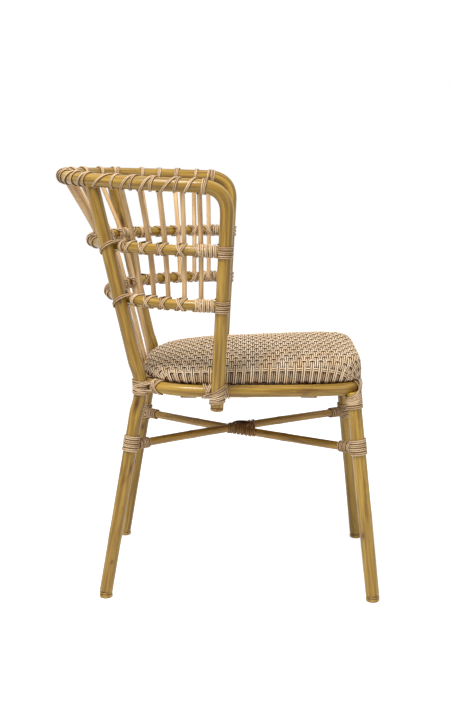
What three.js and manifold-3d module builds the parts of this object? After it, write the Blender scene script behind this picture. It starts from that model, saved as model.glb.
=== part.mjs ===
// A rattan bistro chair: bent poles lashed together with cord, slim spindles in a wrap-round
// back, and a crowned woven seat on a closed ring.
// Lengths are millimetres. X runs to the sitter's left, Y to the rear and Z up. While the chair
// is drawn, y = 0 is the line through both front posts at seat level.
import * as THREE from 'three';
import { mergeVertices } from 'three/addons/utils/BufferGeometryUtils.js';
import Module from 'manifold-3d';

const wasm = await Module();
wasm.setup();

// Poles and cord
const HOOP_DIA = 25;
const REAR_POLE_DIA = 25.5;
const FRONT_LEG_DIA = 26.5;
const RING_DIA = 23;
const MID_RAIL_DIA = 19.5;
const STRETCHER_DIA = 16;
const SPINDLE_DIA = 9.2;
const CORD_DIA = 3.2;
const CONTACT_GAP = 0.35;
const CORD_GAP = 0.35;
const TURN_GAP = 0.75;

// Seat ring
const RING_HEIGHT = 408;
const RING_HALF_WIDTH = 223;
const RING_FRONT_REACH = 267;
const RING_REAR_REACH = 158;
const RING_FRONT_POWER_SHARE = 7;
const RING_REAR_POWER_SHARE = 2.7;
const RING_TAPER_SHARE = 0.12;

// Hoop: front posts and top rail in one bent pole
const POST_FOOT_DROP = 32;
const HOOP_HALF_WIDTH = 267;
const HOOP_FRONT_Y = -17;
const HOOP_REAR_Y = 310;
const HOOP_FRONT_RISE = 115;
const HOOP_REAR_RISE = 10;
const HOOP_POWER_SHARE = 2.17;
const HOOP_BEND = 52;

// Middle rails of the back
const UPPER_RAIL_RISE = 100;
const UPPER_RAIL_REAR_Y = 256;
const LOWER_RAIL_RISE = 164;
const LOWER_RAIL_REAR_Y = 221;

// Legs and stretchers
const REAR_FOOT_X = 205;
const REAR_FOOT_Y = 212.5;
const REAR_POLE_RING_X = 166;
const REAR_POLE_TOP_X = 178;
const REAR_POLE_BEND = 45;
const FRONT_FOOT_X = 208;
const FRONT_FOOT_Y = -298.5;
const FRONT_LEG_TOP_X = 175;
const FRONT_LEG_OUTSET = 9;
const OVER_REAR_DROP = 113;
const OVER_FRONT_DROP = 119;
const UNDER_REAR_DROP = 126;
const UNDER_FRONT_DROP = 114;
const STRETCHER_BEND = 17;

// Spindles
const SIDE_SPINDLE_TOP_SHARES = [0.206, 0.328, 0.494, 0.64, 0.779];
const SIDE_SPINDLE_FOOT_SHARES = [0.218, 0.39, 0.555, 0.706, 0.845];
const SIDE_SPINDLE_TAIL = 7;
const REAR_SPINDLE_COUNT = 7;
const REAR_SPINDLE_PITCH = 50;
const REAR_SPINDLE_UPPER_SHARE = 0.82;
const REAR_SPINDLE_LOWER_SHARE = 0.78;
const REAR_SPINDLE_FOOT_SHARE = 0.72;

// Seat pad, its board and the bearers below it
const PAD_BASE_RISE = 5;
const PAD_SIDE_INSET = 6;
const PAD_REAR_INSET = 9;
const PAD_FRONT_OVERHANG = 6;
const PAD_REAR_WALL = 26;
const PAD_FRONT_WALL = 53;
const PAD_CROWN = 11;
const PAD_CROWN_POWER_SHARE = 2.6;
const PAD_FOOT_INSET = 18;
const PAD_REAR_LIP = 7;
const PAD_FRONT_LIP = 11;
const PAD_FOOT_ROLL = 10;
const PAD_SHOULDER = 14;
const BOARD_THICKNESS = 9;
const BOARD_INSET = 32;
const BEARER_WIDTH = 30;
const BEARER_THICKNESS = 9;
const BEARER_PLACES = [-170, 55];

// Foot caps and post plugs
const CAP_HEIGHT = 11;
const CAP_GROOVE_HEIGHT = 8;
const CAP_GROOVE_DEPTH = 0.8;
const CAP_EDGE = 3;
const PLUG_HEIGHT = 7;
const PLUG_EDGE = 3;

// Lashings
const LASHING_SPAN = 70;
const CROSSING_PITCH = 5.5;
const CROSSING_TURNS = 8;
const STRETCHER_JOINT_PITCH = 6.2;
const STRETCHER_COLLAR_TURNS = 2.5;
const RAIL_JOINT_PITCH = 7.6;
const RAIL_COLLAR_TURNS = 1.5;
const POLE_RING_TURNS = 3;
const POLE_RING_RISE_SHARE = 1.2;
const POST_RING_TURNS = 4;
const POST_RING_RISE_SHARE = -1;
const POLE_RAIL_TURNS = 2;
const POLE_RAIL_RISE_SHARE = 1.3;
const LEG_FAN_LOOPS = 2;
const LEG_FAN_TURNS = 3;
const LEG_FAN_RISE_SHARE = 0.9;
const TIE_BRIDGE = 30;
const TIE_BRIDGE_SHIFT = 13;
const TIE_RISE_SHARE = 0.65;
const TOP_END_TURNS = 3;

// Facets
const POLE_SIDES = 12;
const HOOP_SIDES = 10;
const RAIL_SIDES = 8;
const SPINDLE_SIDES = 6;
const PAD_COLUMNS = 40;
const LOOP_STEPS = 8;
const SLANTED_STEPS = 10;
const FAN_STEPS = 12;
const COLLAR_STEPS = 7;
const TOP_STEPS = 7;
const HOOP_BEND_POINTS = 2;
const CLEARING_PASSES = 30;
const CORD_SIDES = 4;
const TIE_SIDES = 3;
const OVERRUN = 20;

const COLOURS = {
  pole: { color: 0xb08c45, roughness: 0.32, metalness: 0 },
  spindle: { color: 0xc49a5c, roughness: 0.4, metalness: 0 },
  cord: { color: 0xb89c70, roughness: 0.7, metalness: 0 },
  weave: { color: 0xc0a47c, roughness: 0.65, metalness: 0 },
  board: { color: 0x8a6b48, roughness: 0.8, metalness: 0 },
  cap: { color: 0xa07c3a, roughness: 0.4, metalness: 0 },
};

const UP = new THREE.Vector3(0, 0, 1);
const vec = (x, y, z) => new THREE.Vector3(x, y, z);

/** A rounded outline round (0, centreY). A higher power gives squarer corners. */
class Plan {
  constructor({ halfWidth, centreY, rearReach, rearPower, frontReach = 0, frontPower = 1, taper = 0 }) {
    Object.assign(this, { halfWidth, centreY, rearReach, rearPower, frontReach, frontPower, taper });
  }

  /** The place at an angle from +X, moved in by an inset. */
  at(angle, inset = 0) {
    const [c, s] = [Math.cos(angle), Math.sin(angle)];
    const reach = s >= 0 ? this.rearReach : this.frontReach;
    const power = s >= 0 ? this.rearPower : this.frontPower;
    const sum = Math.abs(c / this.halfWidth) ** power + (reach > 0 ? Math.abs(s / reach) ** power : 0);
    const radius = sum ** (-1 / power);
    const narrowing = s < 0 ? 1 + (this.taper * radius * s) / reach : 1;
    const place = vec(radius * c * narrowing, this.centreY + radius * s, 0);
    return inset ? place.addScaledVector(this.outward(angle), -inset) : place;
  }

  outward(angle) {
    const step = 1e-3;
    const run = this.at(angle + step).sub(this.at(angle - step)).normalize();
    return vec(run.y, -run.x, 0);
  }

  /** The angle where the outline's left half has this x or y, in its rear or its front. */
  angleAt(axis, value, rear = true) {
    let [low, high] = [0, Math.PI / 2];
    const grows = axis === 'y';
    for (let pass = 0; pass < 40; pass += 1) {
      const middle = (low + high) / 2;
      const found = this.at(rear ? middle : -middle)[axis];
      const before = grows ? Math.abs(found - this.centreY) < Math.abs(value - this.centreY) : found > value;
      [low, high] = before ? [middle, high] : [low, middle];
    }
    return rear ? low : -low;
  }
}

/** The outline's angle on one side of the chair for an angle on its left half. */
const onSide = (side, angle) => (side > 0 ? angle : Math.PI - angle);

/** A curve through its own stations, so that a sweep has one ring at each of them. */
class Stations extends THREE.Curve {
  constructor(points) {
    super();
    this.points = points;
  }

  getPoint(share) {
    const place = THREE.MathUtils.clamp(share, 0, 1) * (this.points.length - 1);
    const index = Math.min(Math.floor(place), this.points.length - 2);
    return this.points[index].clone().lerp(this.points[index + 1], place - index);
  }

  getUtoTmapping(share) {
    return share;
  }
}

/** A solid tube through the points, with flat ends. */
function tube(points, diameter, sides) {
  const corners = Array.from({ length: sides }, (_, i) => {
    const angle = (2 * Math.PI * (i + 0.5)) / sides;
    return new THREE.Vector2(Math.cos(angle), Math.sin(angle)).multiplyScalar(diameter / 2);
  });
  return new THREE.ExtrudeGeometry(new THREE.Shape(corners), {
    steps: points.length - 1,
    bevelEnabled: false,
    extrudePath: new Stations(points),
  });
}

function toSolid(geometry) {
  const bare = new THREE.BufferGeometry();
  bare.setAttribute('position', geometry.getAttribute('position').clone());
  if (geometry.index) bare.setIndex(geometry.index.clone());
  const merged = mergeVertices(bare, 1e-4);
  return new wasm.Manifold(new wasm.Mesh({
    numProp: 3,
    vertProperties: new Float32Array(merged.getAttribute('position').array),
    triVerts: new Uint32Array(merged.index.array),
  }));
}

function toGeometry(solid) {
  const mesh = solid.getMesh();
  const geometry = new THREE.BufferGeometry();
  geometry.setAttribute('position', new THREE.BufferAttribute(mesh.vertProperties, 3));
  geometry.setIndex(new THREE.BufferAttribute(mesh.triVerts, 1));
  return geometry;
}

/** The geometry less every cutter. */
function cut(geometry, cutters) {
  return toGeometry(cutters.reduce((solid, cutter) => solid.subtract(cutter), toSolid(geometry)));
}

/** The nearest place on a chain of points, and the chain's direction there. */
function nearest(place, points) {
  let [index, least] = [0, Infinity];
  const line = new THREE.Line3();
  const found = vec(0, 0, 0);
  const best = vec(0, 0, 0);
  for (let i = 0; i + 1 < points.length; i += 1) {
    line.set(points[i], points[i + 1]).closestPointToPoint(place, true, found);
    const distance = found.distanceToSquared(place);
    if (distance < least) {
      [index, least] = [i, distance];
      best.copy(found);
    }
  }
  return { place: best, run: points[index + 1].clone().sub(points[index]).normalize() };
}

function leastDistance(points, others) {
  return Math.min(...points.map((place) => nearest(place, others).place.distanceTo(place)));
}

/** Points every small share of the way along a chain. */
function resample(points, count) {
  const chain = new Stations(points);
  return Array.from({ length: count + 1 }, (_, i) => chain.getPoint(i / count));
}

const chair = new THREE.Group();

function add(name, geometry, finish) {
  geometry.computeVertexNormals();
  const mesh = new THREE.Mesh(geometry, new THREE.MeshStandardMaterial(COLOURS[finish]));
  mesh.name = name;
  chair.add(mesh);
}

const SIDES = { right: -1, left: 1 };

// Heights, each from the one below it
const postFootHeight = RING_HEIGHT - POST_FOOT_DROP;
const lowerRailHeight = RING_HEIGHT + LOWER_RAIL_RISE;
const upperRailHeight = lowerRailHeight + UPPER_RAIL_RISE;
const hoopFrontHeight = upperRailHeight + HOOP_FRONT_RISE;
const hoopRearHeight = hoopFrontHeight + HOOP_REAR_RISE;
const stretcherHeights = {
  over: { rear: RING_HEIGHT - OVER_REAR_DROP, front: RING_HEIGHT - OVER_FRONT_DROP },
  under: { rear: RING_HEIGHT - UNDER_REAR_DROP, front: RING_HEIGHT - UNDER_FRONT_DROP },
};

// Centre lines
const ringPlan = new Plan({
  halfWidth: RING_HALF_WIDTH,
  centreY: 0,
  rearReach: RING_REAR_REACH,
  rearPower: RING_REAR_POWER_SHARE,
  frontReach: RING_FRONT_REACH,
  frontPower: RING_FRONT_POWER_SHARE,
  taper: RING_TAPER_SHARE,
});
const hoopPlan = new Plan({
  halfWidth: HOOP_HALF_WIDTH,
  centreY: HOOP_FRONT_Y,
  rearReach: HOOP_REAR_Y - HOOP_FRONT_Y,
  rearPower: HOOP_POWER_SHARE,
});
const postRingX = RING_HALF_WIDTH + RING_DIA / 2 + HOOP_DIA / 2 + CONTACT_GAP;

/** A place on the top rail, which rises evenly to the rear. */
function onHoop(angle) {
  const place = hoopPlan.at(angle);
  const share = (place.y - HOOP_FRONT_Y) / (HOOP_REAR_Y - HOOP_FRONT_Y);
  return place.setZ(THREE.MathUtils.lerp(hoopFrontHeight, hoopRearHeight, share));
}

/** The place on a front post's centre line at a height. */
function onPost(side, height) {
  const share = (height - RING_HEIGHT) / (hoopFrontHeight - RING_HEIGHT);
  return vec(side * THREE.MathUtils.lerp(postRingX, HOOP_HALF_WIDTH, share), HOOP_FRONT_Y * share, height);
}

/** One whole bent pole: post, bend, top rail, bend and post. */
function hoopLine() {
  const corner = onPost(-1, hoopFrontHeight);
  const down = onPost(-1, RING_HEIGHT).sub(corner).normalize();
  const steps = 20;
  const rail = Array.from({ length: steps + 1 }, (_, i) => onHoop(Math.PI * (1 - i / (2 * steps))));
  const kept = rail.filter((place) => place.distanceTo(corner) > HOOP_BEND);
  const bend = new THREE.QuadraticBezierCurve3(
    corner.clone().addScaledVector(down, HOOP_BEND), corner, kept[0],
  );
  const foot = onPost(-1, postFootHeight + PLUG_HEIGHT + CONTACT_GAP);
  const half = [foot, onPost(-1, upperRailHeight), ...bend.getPoints(6), ...kept.slice(1)];
  const other = half.slice(0, -1).reverse().map((place) => vec(-place.x, place.y, place.z));
  return [...half, ...other];
}

function ringLine(steps) {
  const place = (i) => ringPlan.at((2 * Math.PI * i) / steps).setZ(RING_HEIGHT);
  return Array.from({ length: steps + 1 }, (_, i) => place(i));
}

/** Where a rear pole bends beside the ring. */
function rearPoleKink(side) {
  const angle = onSide(side, ringPlan.angleAt('x', REAR_POLE_RING_X));
  const reach = RING_DIA / 2 + REAR_POLE_DIA / 2 + CONTACT_GAP;
  return ringPlan.at(angle, -reach).setZ(RING_HEIGHT);
}

/** Leg and back post of one rear pole. */
function rearPoleLine(side) {
  const foot = vec(side * REAR_FOOT_X, REAR_FOOT_Y, CAP_HEIGHT + CONTACT_GAP);
  const kink = rearPoleKink(side);
  const top = onHoop(onSide(side, hoopPlan.angleAt('x', REAR_POLE_TOP_X)));
  const below = kink.clone().add(foot.clone().sub(kink).setLength(REAR_POLE_BEND));
  const above = kink.clone().add(top.clone().sub(kink).setLength(REAR_POLE_BEND));
  const apex = kink.clone().multiplyScalar(4).sub(below).sub(above).divideScalar(2);
  const start = foot.clone().add(foot.clone().sub(kink).setLength(OVERRUN));
  return [start, ...new THREE.QuadraticBezierCurve3(below, apex, above).getPoints(4), top];
}

function frontLegLine(side) {
  const angle = onSide(side, ringPlan.angleAt('x', FRONT_LEG_TOP_X, false));
  const top = ringPlan.at(angle, -FRONT_LEG_OUTSET).setZ(RING_HEIGHT);
  const foot = vec(side * FRONT_FOOT_X, FRONT_FOOT_Y, CAP_HEIGHT + CONTACT_GAP);
  return [foot.clone().add(foot.clone().sub(top).setLength(OVERRUN)), top];
}

const lines = { hoop: hoopLine(), ring: ringLine(56) };
for (const [word, side] of Object.entries(SIDES)) {
  lines[`rear_${word}`] = rearPoleLine(side);
  lines[`front_${word}`] = frontLegLine(side);
}

/** The place at a height on a chain that rises. */
function atHeight(points, height) {
  const index = points.findIndex((place, i) => i + 1 < points.length && points[i + 1].z >= height);
  const [low, high] = [points[index], points[index + 1]];
  return low.clone().lerp(high, (height - low.z) / (high.z - low.z));
}

/** A middle rail runs from post to post and passes just inside both rear poles. */
function middleRail(height, rearY) {
  const end = onPost(1, height);
  const pole = atHeight(lines.rear_left, height);
  const reach = MID_RAIL_DIA / 2 + REAR_POLE_DIA / 2 + CONTACT_GAP;
  const nearPole = resample([
    atHeight(lines.rear_left, height - REAR_POLE_DIA), atHeight(lines.rear_left, height + REAR_POLE_DIA),
  ], 12);
  const draw = (rearPower) => {
    const plan = new Plan({ halfWidth: end.x, centreY: end.y, rearReach: rearY - end.y, rearPower });
    const points = Array.from({ length: 33 }, (_, i) => plan.at((Math.PI * i) / 32).setZ(height));
    return { plan, points };
  };
  let [low, high] = [1.2, 4];
  for (let pass = 0; pass < 30; pass += 1) {
    const middle = (low + high) / 2;
    const { plan, points } = draw(middle);
    const inside = plan.at(plan.angleAt('x', pole.x)).y < pole.y;
    [low, high] = inside && leastDistance(nearPole, points) > reach ? [middle, high] : [low, middle];
  }
  return draw(low);
}

const upperRail = middleRail(upperRailHeight, UPPER_RAIL_REAR_Y);
const lowerRail = middleRail(lowerRailHeight, LOWER_RAIL_REAR_Y);
lines.upper = upperRail.points;
lines.lower = lowerRail.points;

/** A spindle bends just inside both middle rails; it gets one angle on each of the three rails. */
function spindleLine(topAngle, upperAngle, lowerAngle, foot) {
  const reach = MID_RAIL_DIA / 2 + SPINDLE_DIA / 2 + CONTACT_GAP;
  const insets = [reach, reach];
  let points = [];
  for (let pass = 0; pass < 8; pass += 1) {
    const upper = upperRail.plan.at(upperAngle, insets[0]).setZ(upperRailHeight);
    const lower = lowerRail.plan.at(lowerAngle, insets[1]).setZ(lowerRailHeight);
    const end = foot ?? lower.clone().add(lower.clone().sub(upper).setLength(SIDE_SPINDLE_TAIL));
    const curve = new THREE.CatmullRomCurve3([onHoop(topAngle), upper, lower, end], false, 'centripetal');
    points = curve.getPoints(foot ? 9 : 6);
    insets[0] += reach - leastDistance(resample(points, 40), lines.upper);
    insets[1] += reach - leastDistance(resample(points, 40), lines.lower);
  }
  return points;
}

/** Spindles between a front post and a rear pole, at shares of the way along each rail. */
function sideSpindles(side) {
  const poleY = (height) => atHeight(lines.rear_left, height).y;
  const angle = (plan, endY, share) => onSide(
    side, plan.angleAt('y', THREE.MathUtils.lerp(plan.centreY, endY, share)),
  );
  const topY = lines.rear_left.at(-1).y;
  return SIDE_SPINDLE_TOP_SHARES.map((share, i) => {
    const footShare = SIDE_SPINDLE_FOOT_SHARES[i];
    return spindleLine(
      angle(hoopPlan, topY, share),
      angle(upperRail.plan, poleY(upperRailHeight), (share + footShare) / 2),
      angle(lowerRail.plan, poleY(lowerRailHeight), footShare),
    );
  });
}

/** Spindles between the rear poles, which run down to the ring behind the pad. */
function rearSpindles() {
  return Array.from({ length: REAR_SPINDLE_COUNT }, (_, i) => {
    const place = (i - (REAR_SPINDLE_COUNT - 1) / 2) * REAR_SPINDLE_PITCH;
    const side = Math.sign(place) || 1;
    const angle = (plan, share) => onSide(side, plan.angleAt('x', Math.abs(place) * share));
    const foot = ringPlan.at(angle(ringPlan, REAR_SPINDLE_FOOT_SHARE)).setZ(RING_HEIGHT);
    return spindleLine(
      angle(hoopPlan, 1),
      angle(upperRail.plan, REAR_SPINDLE_UPPER_SHARE),
      angle(lowerRail.plan, REAR_SPINDLE_LOWER_SHARE),
      foot,
    );
  });
}

const spindles = { rear: rearSpindles() };
for (const [word, side] of Object.entries(SIDES)) spindles[word] = sideSpindles(side);

// Poles
const ringTube = (diameter) => new THREE.TubeGeometry(
  new Stations(lines.ring), lines.ring.length - 1, diameter / 2, HOOP_SIDES, true,
);
const grown = (points, diameter, sides) => toSolid(tube(points, diameter + 2 * CONTACT_GAP, sides));
const hoopCutter = grown(lines.hoop, HOOP_DIA, HOOP_SIDES);
const ringCutter = toSolid(ringTube(RING_DIA + 2 * CONTACT_GAP));
const legCutters = {};
for (const word of Object.keys(SIDES)) {
  legCutters[`rear_${word}`] = grown(lines[`rear_${word}`], REAR_POLE_DIA, POLE_SIDES);
  legCutters[`front_${word}`] = grown(lines[`front_${word}`], FRONT_LEG_DIA, POLE_SIDES);
}

/** The space above or below a level, wide enough for any cut. */
function halfSpace(level, above) {
  const size = 4 * HOOP_REAR_Y;
  const middle = level + (above ? size : -size) / 2;
  return toSolid(new THREE.BoxGeometry(size, size, size).translate(0, 0, middle));
}

function addHoopAndRing() {
  add('top_rail_hoop', tube(lines.hoop, HOOP_DIA, HOOP_SIDES), 'pole');
  add('seat_ring', ringTube(RING_DIA), 'pole');
}

/** Rear poles end in a saddle under the top rail, front legs in a saddle under the ring. */
function addLegs() {
  const belowLeg = halfSpace(CAP_HEIGHT + CONTACT_GAP, false);
  for (const word of Object.keys(SIDES)) {
    const rear = lines[`rear_${word}`];
    const poleTop = halfSpace(rear.at(-1).z - HOOP_DIA / 4, true);
    const pole = tube(rear, REAR_POLE_DIA, POLE_SIDES);
    add(`rear_pole_${word}`, cut(pole, [hoopCutter, poleTop, belowLeg]), 'pole');
    const legTop = halfSpace(RING_HEIGHT - RING_DIA / 4, true);
    const leg = tube(lines[`front_${word}`], FRONT_LEG_DIA, POLE_SIDES);
    add(`front_leg_${word}`, cut(leg, [ringCutter, legTop, belowLeg]), 'pole');
  }
}

function addMiddleRails() {
  add('upper_mid_rail', cut(tube(lines.upper, MID_RAIL_DIA, RAIL_SIDES), [hoopCutter]), 'pole');
  add('lower_mid_rail', cut(tube(lines.lower, MID_RAIL_DIA, RAIL_SIDES), [hoopCutter]), 'pole');
}

function addSpindles() {
  const draw = (points) => cut(tube(points, SPINDLE_DIA, SPINDLE_SIDES), [hoopCutter, ringCutter]);
  for (const word of Object.keys(SIDES)) {
    spindles[word].forEach((points, i) => add(`side_spindle_${word}_${i + 1}`, draw(points), 'spindle'));
  }
  spindles.rear.forEach((points, i) => add(`rear_spindle_${i + 1}`, draw(points), 'spindle'));
}

/** A stretcher runs from a rear pole to the front leg across, with its middle bent rearwards. */
function stretcherLine(rearWord, frontWord, heights) {
  const rear = atHeight(lines[`rear_${rearWord}`], heights.rear);
  const front = atHeight(lines[`front_${frontWord}`], heights.front);
  const middle = rear.clone().add(front).divideScalar(2);
  middle.y += 2 * STRETCHER_BEND;
  return new THREE.QuadraticBezierCurve3(rear, middle, front).getPoints(6);
}
lines.over = stretcherLine('right', 'left', stretcherHeights.over);
lines.under = stretcherLine('left', 'right', stretcherHeights.under);
const crossingHeight = Object.values(stretcherHeights)
  .reduce((sum, { rear, front }) => sum + (rear + front) / 4, 0);

/** The stretchers are halved into each other where they cross. */
function addStretchers() {
  const over = tube(lines.over, STRETCHER_DIA, RAIL_SIDES);
  const under = tube(lines.under, STRETCHER_DIA, RAIL_SIDES);
  const overNotch = grown(lines.under, STRETCHER_DIA, RAIL_SIDES)
    .intersect(halfSpace(crossingHeight + CONTACT_GAP / 2, false));
  const underNotch = grown(lines.over, STRETCHER_DIA, RAIL_SIDES)
    .intersect(halfSpace(crossingHeight - CONTACT_GAP / 2, true));
  add('stretcher_over', cut(over, [legCutters.rear_right, legCutters.front_left, overNotch]), 'pole');
  add('stretcher_under', cut(under, [legCutters.rear_left, legCutters.front_right, underNotch]), 'pole');
}

// Seat
const padBase = RING_HEIGHT + PAD_BASE_RISE;
const padPlan = new Plan({
  halfWidth: RING_HALF_WIDTH - PAD_SIDE_INSET,
  centreY: 0,
  rearReach: RING_REAR_REACH - PAD_REAR_INSET,
  rearPower: RING_REAR_POWER_SHARE,
  frontReach: RING_FRONT_REACH + PAD_FRONT_OVERHANG,
  frontPower: RING_FRONT_POWER_SHARE,
  taper: RING_TAPER_SHARE,
});
const padMiddle = vec(0, (padPlan.rearReach - padPlan.frontReach) / 2, 0);

/** How far a place lies from the pad's rear, as a share of the pad's depth. */
function frontShare(y) {
  return (padPlan.rearReach - y) / (padPlan.rearReach + padPlan.frontReach);
}

/** The pad's wall is taller towards the front. */
function padWall(y) {
  return THREE.MathUtils.lerp(PAD_REAR_WALL, PAD_FRONT_WALL, frontShare(y));
}

/** A closed loft through rings of places, from the lowest to the highest. */
function loft(rings) {
  const count = rings[0].length;
  const middles = [rings[0], rings.at(-1)].map((ring) => ring
    .reduce((sum, place) => sum.add(place), vec(0, 0, 0)).divideScalar(count));
  const places = [...rings.flat(), ...middles];
  const triangles = [];
  const last = rings.length - 1;
  for (let i = 0; i < count; i += 1) {
    const next = (i + 1) % count;
    triangles.push(rings.length * count, next, i);
    for (let k = 0; k < last; k += 1) {
      const [a, b] = [k * count + i, k * count + next];
      triangles.push(a, b, b + count, a, b + count, a + count);
    }
    triangles.push(rings.length * count + 1, last * count + i, last * count + next);
  }
  const geometry = new THREE.BufferGeometry().setFromPoints(places);
  geometry.setIndex(triangles);
  return geometry;
}

/** The crowned pad: drawn in at its foot, rounded at its shoulder and domed on top. */
function padGeometry() {
  const angles = Array.from({ length: PAD_COLUMNS }, (_, i) => (2 * Math.PI * (i + 0.5)) / PAD_COLUMNS);
  const heightShare = (y, share) => padBase + padWall(y) * share;
  const side = (inset, share) => angles.map((angle) => {
    const place = padPlan.at(angle, inset);
    return place.setZ(heightShare(place.y, share));
  });
  const foot = (outShare, rise) => angles.map((angle) => {
    const place = ringPlan.at(angle, PAD_FOOT_INSET).lerp(padPlan.at(angle), outShare);
    const lip = THREE.MathUtils.lerp(PAD_REAR_LIP, PAD_FRONT_LIP, frontShare(place.y));
    return place.setZ(padBase + (rise === 0 ? 0 : lip + PAD_FOOT_ROLL * rise));
  });
  const rings = [foot(0, 0), foot(0, 0.1), foot(0.55, 0.3), foot(0.9, 0.65), foot(1, 1)];
  const shoulderShares = [[0.1, 0.72], [0.4, 0.89]];
  rings.push(...shoulderShares.map(([insetShare, share]) => side(PAD_SHOULDER * insetShare, share)));
  const edge = side(PAD_SHOULDER, 1);
  const crownShares = [1, 0.95, 0.86, 0.68, 0.4];
  for (const share of crownShares) {
    rings.push(edge.map((place) => {
      const [x, y] = [place.x * share, THREE.MathUtils.lerp(padMiddle.y, place.y, share)];
      return vec(x, y, padBase + padWall(y) + PAD_CROWN * (1 - share ** PAD_CROWN_POWER_SHARE));
    }));
  }
  return loft(rings);
}

/** Board under the pad, and the two bearers that carry it inside the ring. */
function addSeat() {
  add('seat_pad', padGeometry(), 'weave');
  const outline = Array.from({ length: 36 }, (_, i) => {
    const place = ringPlan.at((2 * Math.PI * i) / 36, BOARD_INSET);
    return new THREE.Vector2(place.x, place.y);
  });
  const boardTop = padBase - CONTACT_GAP;
  const options = { depth: BOARD_THICKNESS, bevelEnabled: false };
  const board = new THREE.ExtrudeGeometry(new THREE.Shape(outline), options);
  add('seat_board', board.translate(0, 0, boardTop - BOARD_THICKNESS), 'board');
  const bearerTop = boardTop - BOARD_THICKNESS - CONTACT_GAP;
  const names = ['front', 'rear'];
  BEARER_PLACES.forEach((y, i) => {
    const angle = ringPlan.angleAt('y', y, y > 0);
    const length = 2 * ringPlan.at(angle).x;
    const bearer = new THREE.BoxGeometry(length, BEARER_WIDTH, BEARER_THICKNESS)
      .translate(0, y, bearerTop - BEARER_THICKNESS / 2);
    add(`seat_bearer_${names[i]}`, cut(bearer, [ringCutter]), 'board');
  });
}

// Foot caps and post plugs
function roundedDisc(radius, height, edge) {
  const profile = [new THREE.Vector2(0, 0)];
  for (let i = 0; i <= 3; i += 1) {
    const angle = (Math.PI / 2) * (i / 3);
    profile.push(new THREE.Vector2(radius - edge + edge * Math.sin(angle), edge - edge * Math.cos(angle)));
  }
  return [profile, new THREE.Vector2(radius, height), new THREE.Vector2(0, height)];
}

function addCaps() {
  const draw = (radius) => {
    const [profile, rim, middle] = roundedDisc(radius, CAP_HEIGHT, CAP_EDGE);
    const groove = [[0, -1], [-1, 0], [0, 1]].map(([inward, rise]) => new THREE.Vector2(
      radius + inward * CAP_GROOVE_DEPTH, CAP_GROOVE_HEIGHT + rise * CAP_GROOVE_DEPTH,
    ));
    return new THREE.LatheGeometry([...profile, ...groove, rim, middle], POLE_SIDES).rotateX(Math.PI / 2);
  };
  for (const [word, side] of Object.entries(SIDES)) {
    const rear = draw(REAR_POLE_DIA / 2).translate(side * REAR_FOOT_X, REAR_FOOT_Y, 0);
    const front = draw(FRONT_LEG_DIA / 2).translate(side * FRONT_FOOT_X, FRONT_FOOT_Y, 0);
    add(`foot_cap_rear_${word}`, rear, 'cap');
    add(`foot_cap_front_${word}`, front, 'cap');
    const [profile, rim, middle] = roundedDisc(HOOP_DIA / 2, PLUG_HEIGHT, PLUG_EDGE);
    const plug = new THREE.LatheGeometry([...profile, rim, middle], HOOP_SIDES).rotateX(Math.PI / 2);
    const lean = onPost(side, hoopFrontHeight).sub(onPost(side, RING_HEIGHT)).normalize();
    plug.applyQuaternion(new THREE.Quaternion().setFromUnitVectors(UP, lean));
    const foot = onPost(side, postFootHeight);
    add(`post_plug_${word}`, plug.translate(foot.x, foot.y, foot.z), 'cap');
  }
}

addHoopAndRing();
addLegs();
addMiddleRails();
addSpindles();
addStretchers();
addSeat();
addCaps();

// Lashings
/** A pole near a place: its centre line there, its direction and how far off a cord lies. */
function poleNear(points, diameter, place) {
  const found = nearest(place, points);
  const kept = points.filter((point, i) => [points[i - 1], point, points[i + 1]]
    .some((other) => other && other.distanceTo(place) < LASHING_SPAN));
  return {
    centre: found.place,
    run: found.run,
    chain: kept.length > 1 ? kept : points,
    reach: diameter / 2 + CORD_DIA / 2 + CORD_GAP,
  };
}

/** Moves the stations of a cord off the poles until every chord clears them. */
function clearOf(stations, poles) {
  const chordShares = [0, 0.25, 0.5, 0.75, 1];
  for (let pass = 0; pass < CLEARING_PASSES; pass += 1) {
    for (let i = 0; i + 1 < stations.length; i += 1) {
      const [from, to] = [stations[i], stations[i + 1]];
      for (const share of chordShares) {
        const place = from.clone().lerp(to, share);
        for (const pole of poles) {
          const away = place.clone().sub(nearest(place, pole.chain).place);
          const lack = pole.reach - away.length();
          if (lack > 0) {
            away.setLength(lack / ((1 - share) ** 2 + share ** 2));
            from.addScaledVector(away, 1 - share);
            to.addScaledVector(away, share);
          }
        }
      }
    }
  }
  return stations;
}

/** The part of a direction that is square to an axis. */
function squareTo(axis, direction) {
  return direction.clone().addScaledVector(axis, -direction.dot(axis)).normalize();
}

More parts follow.
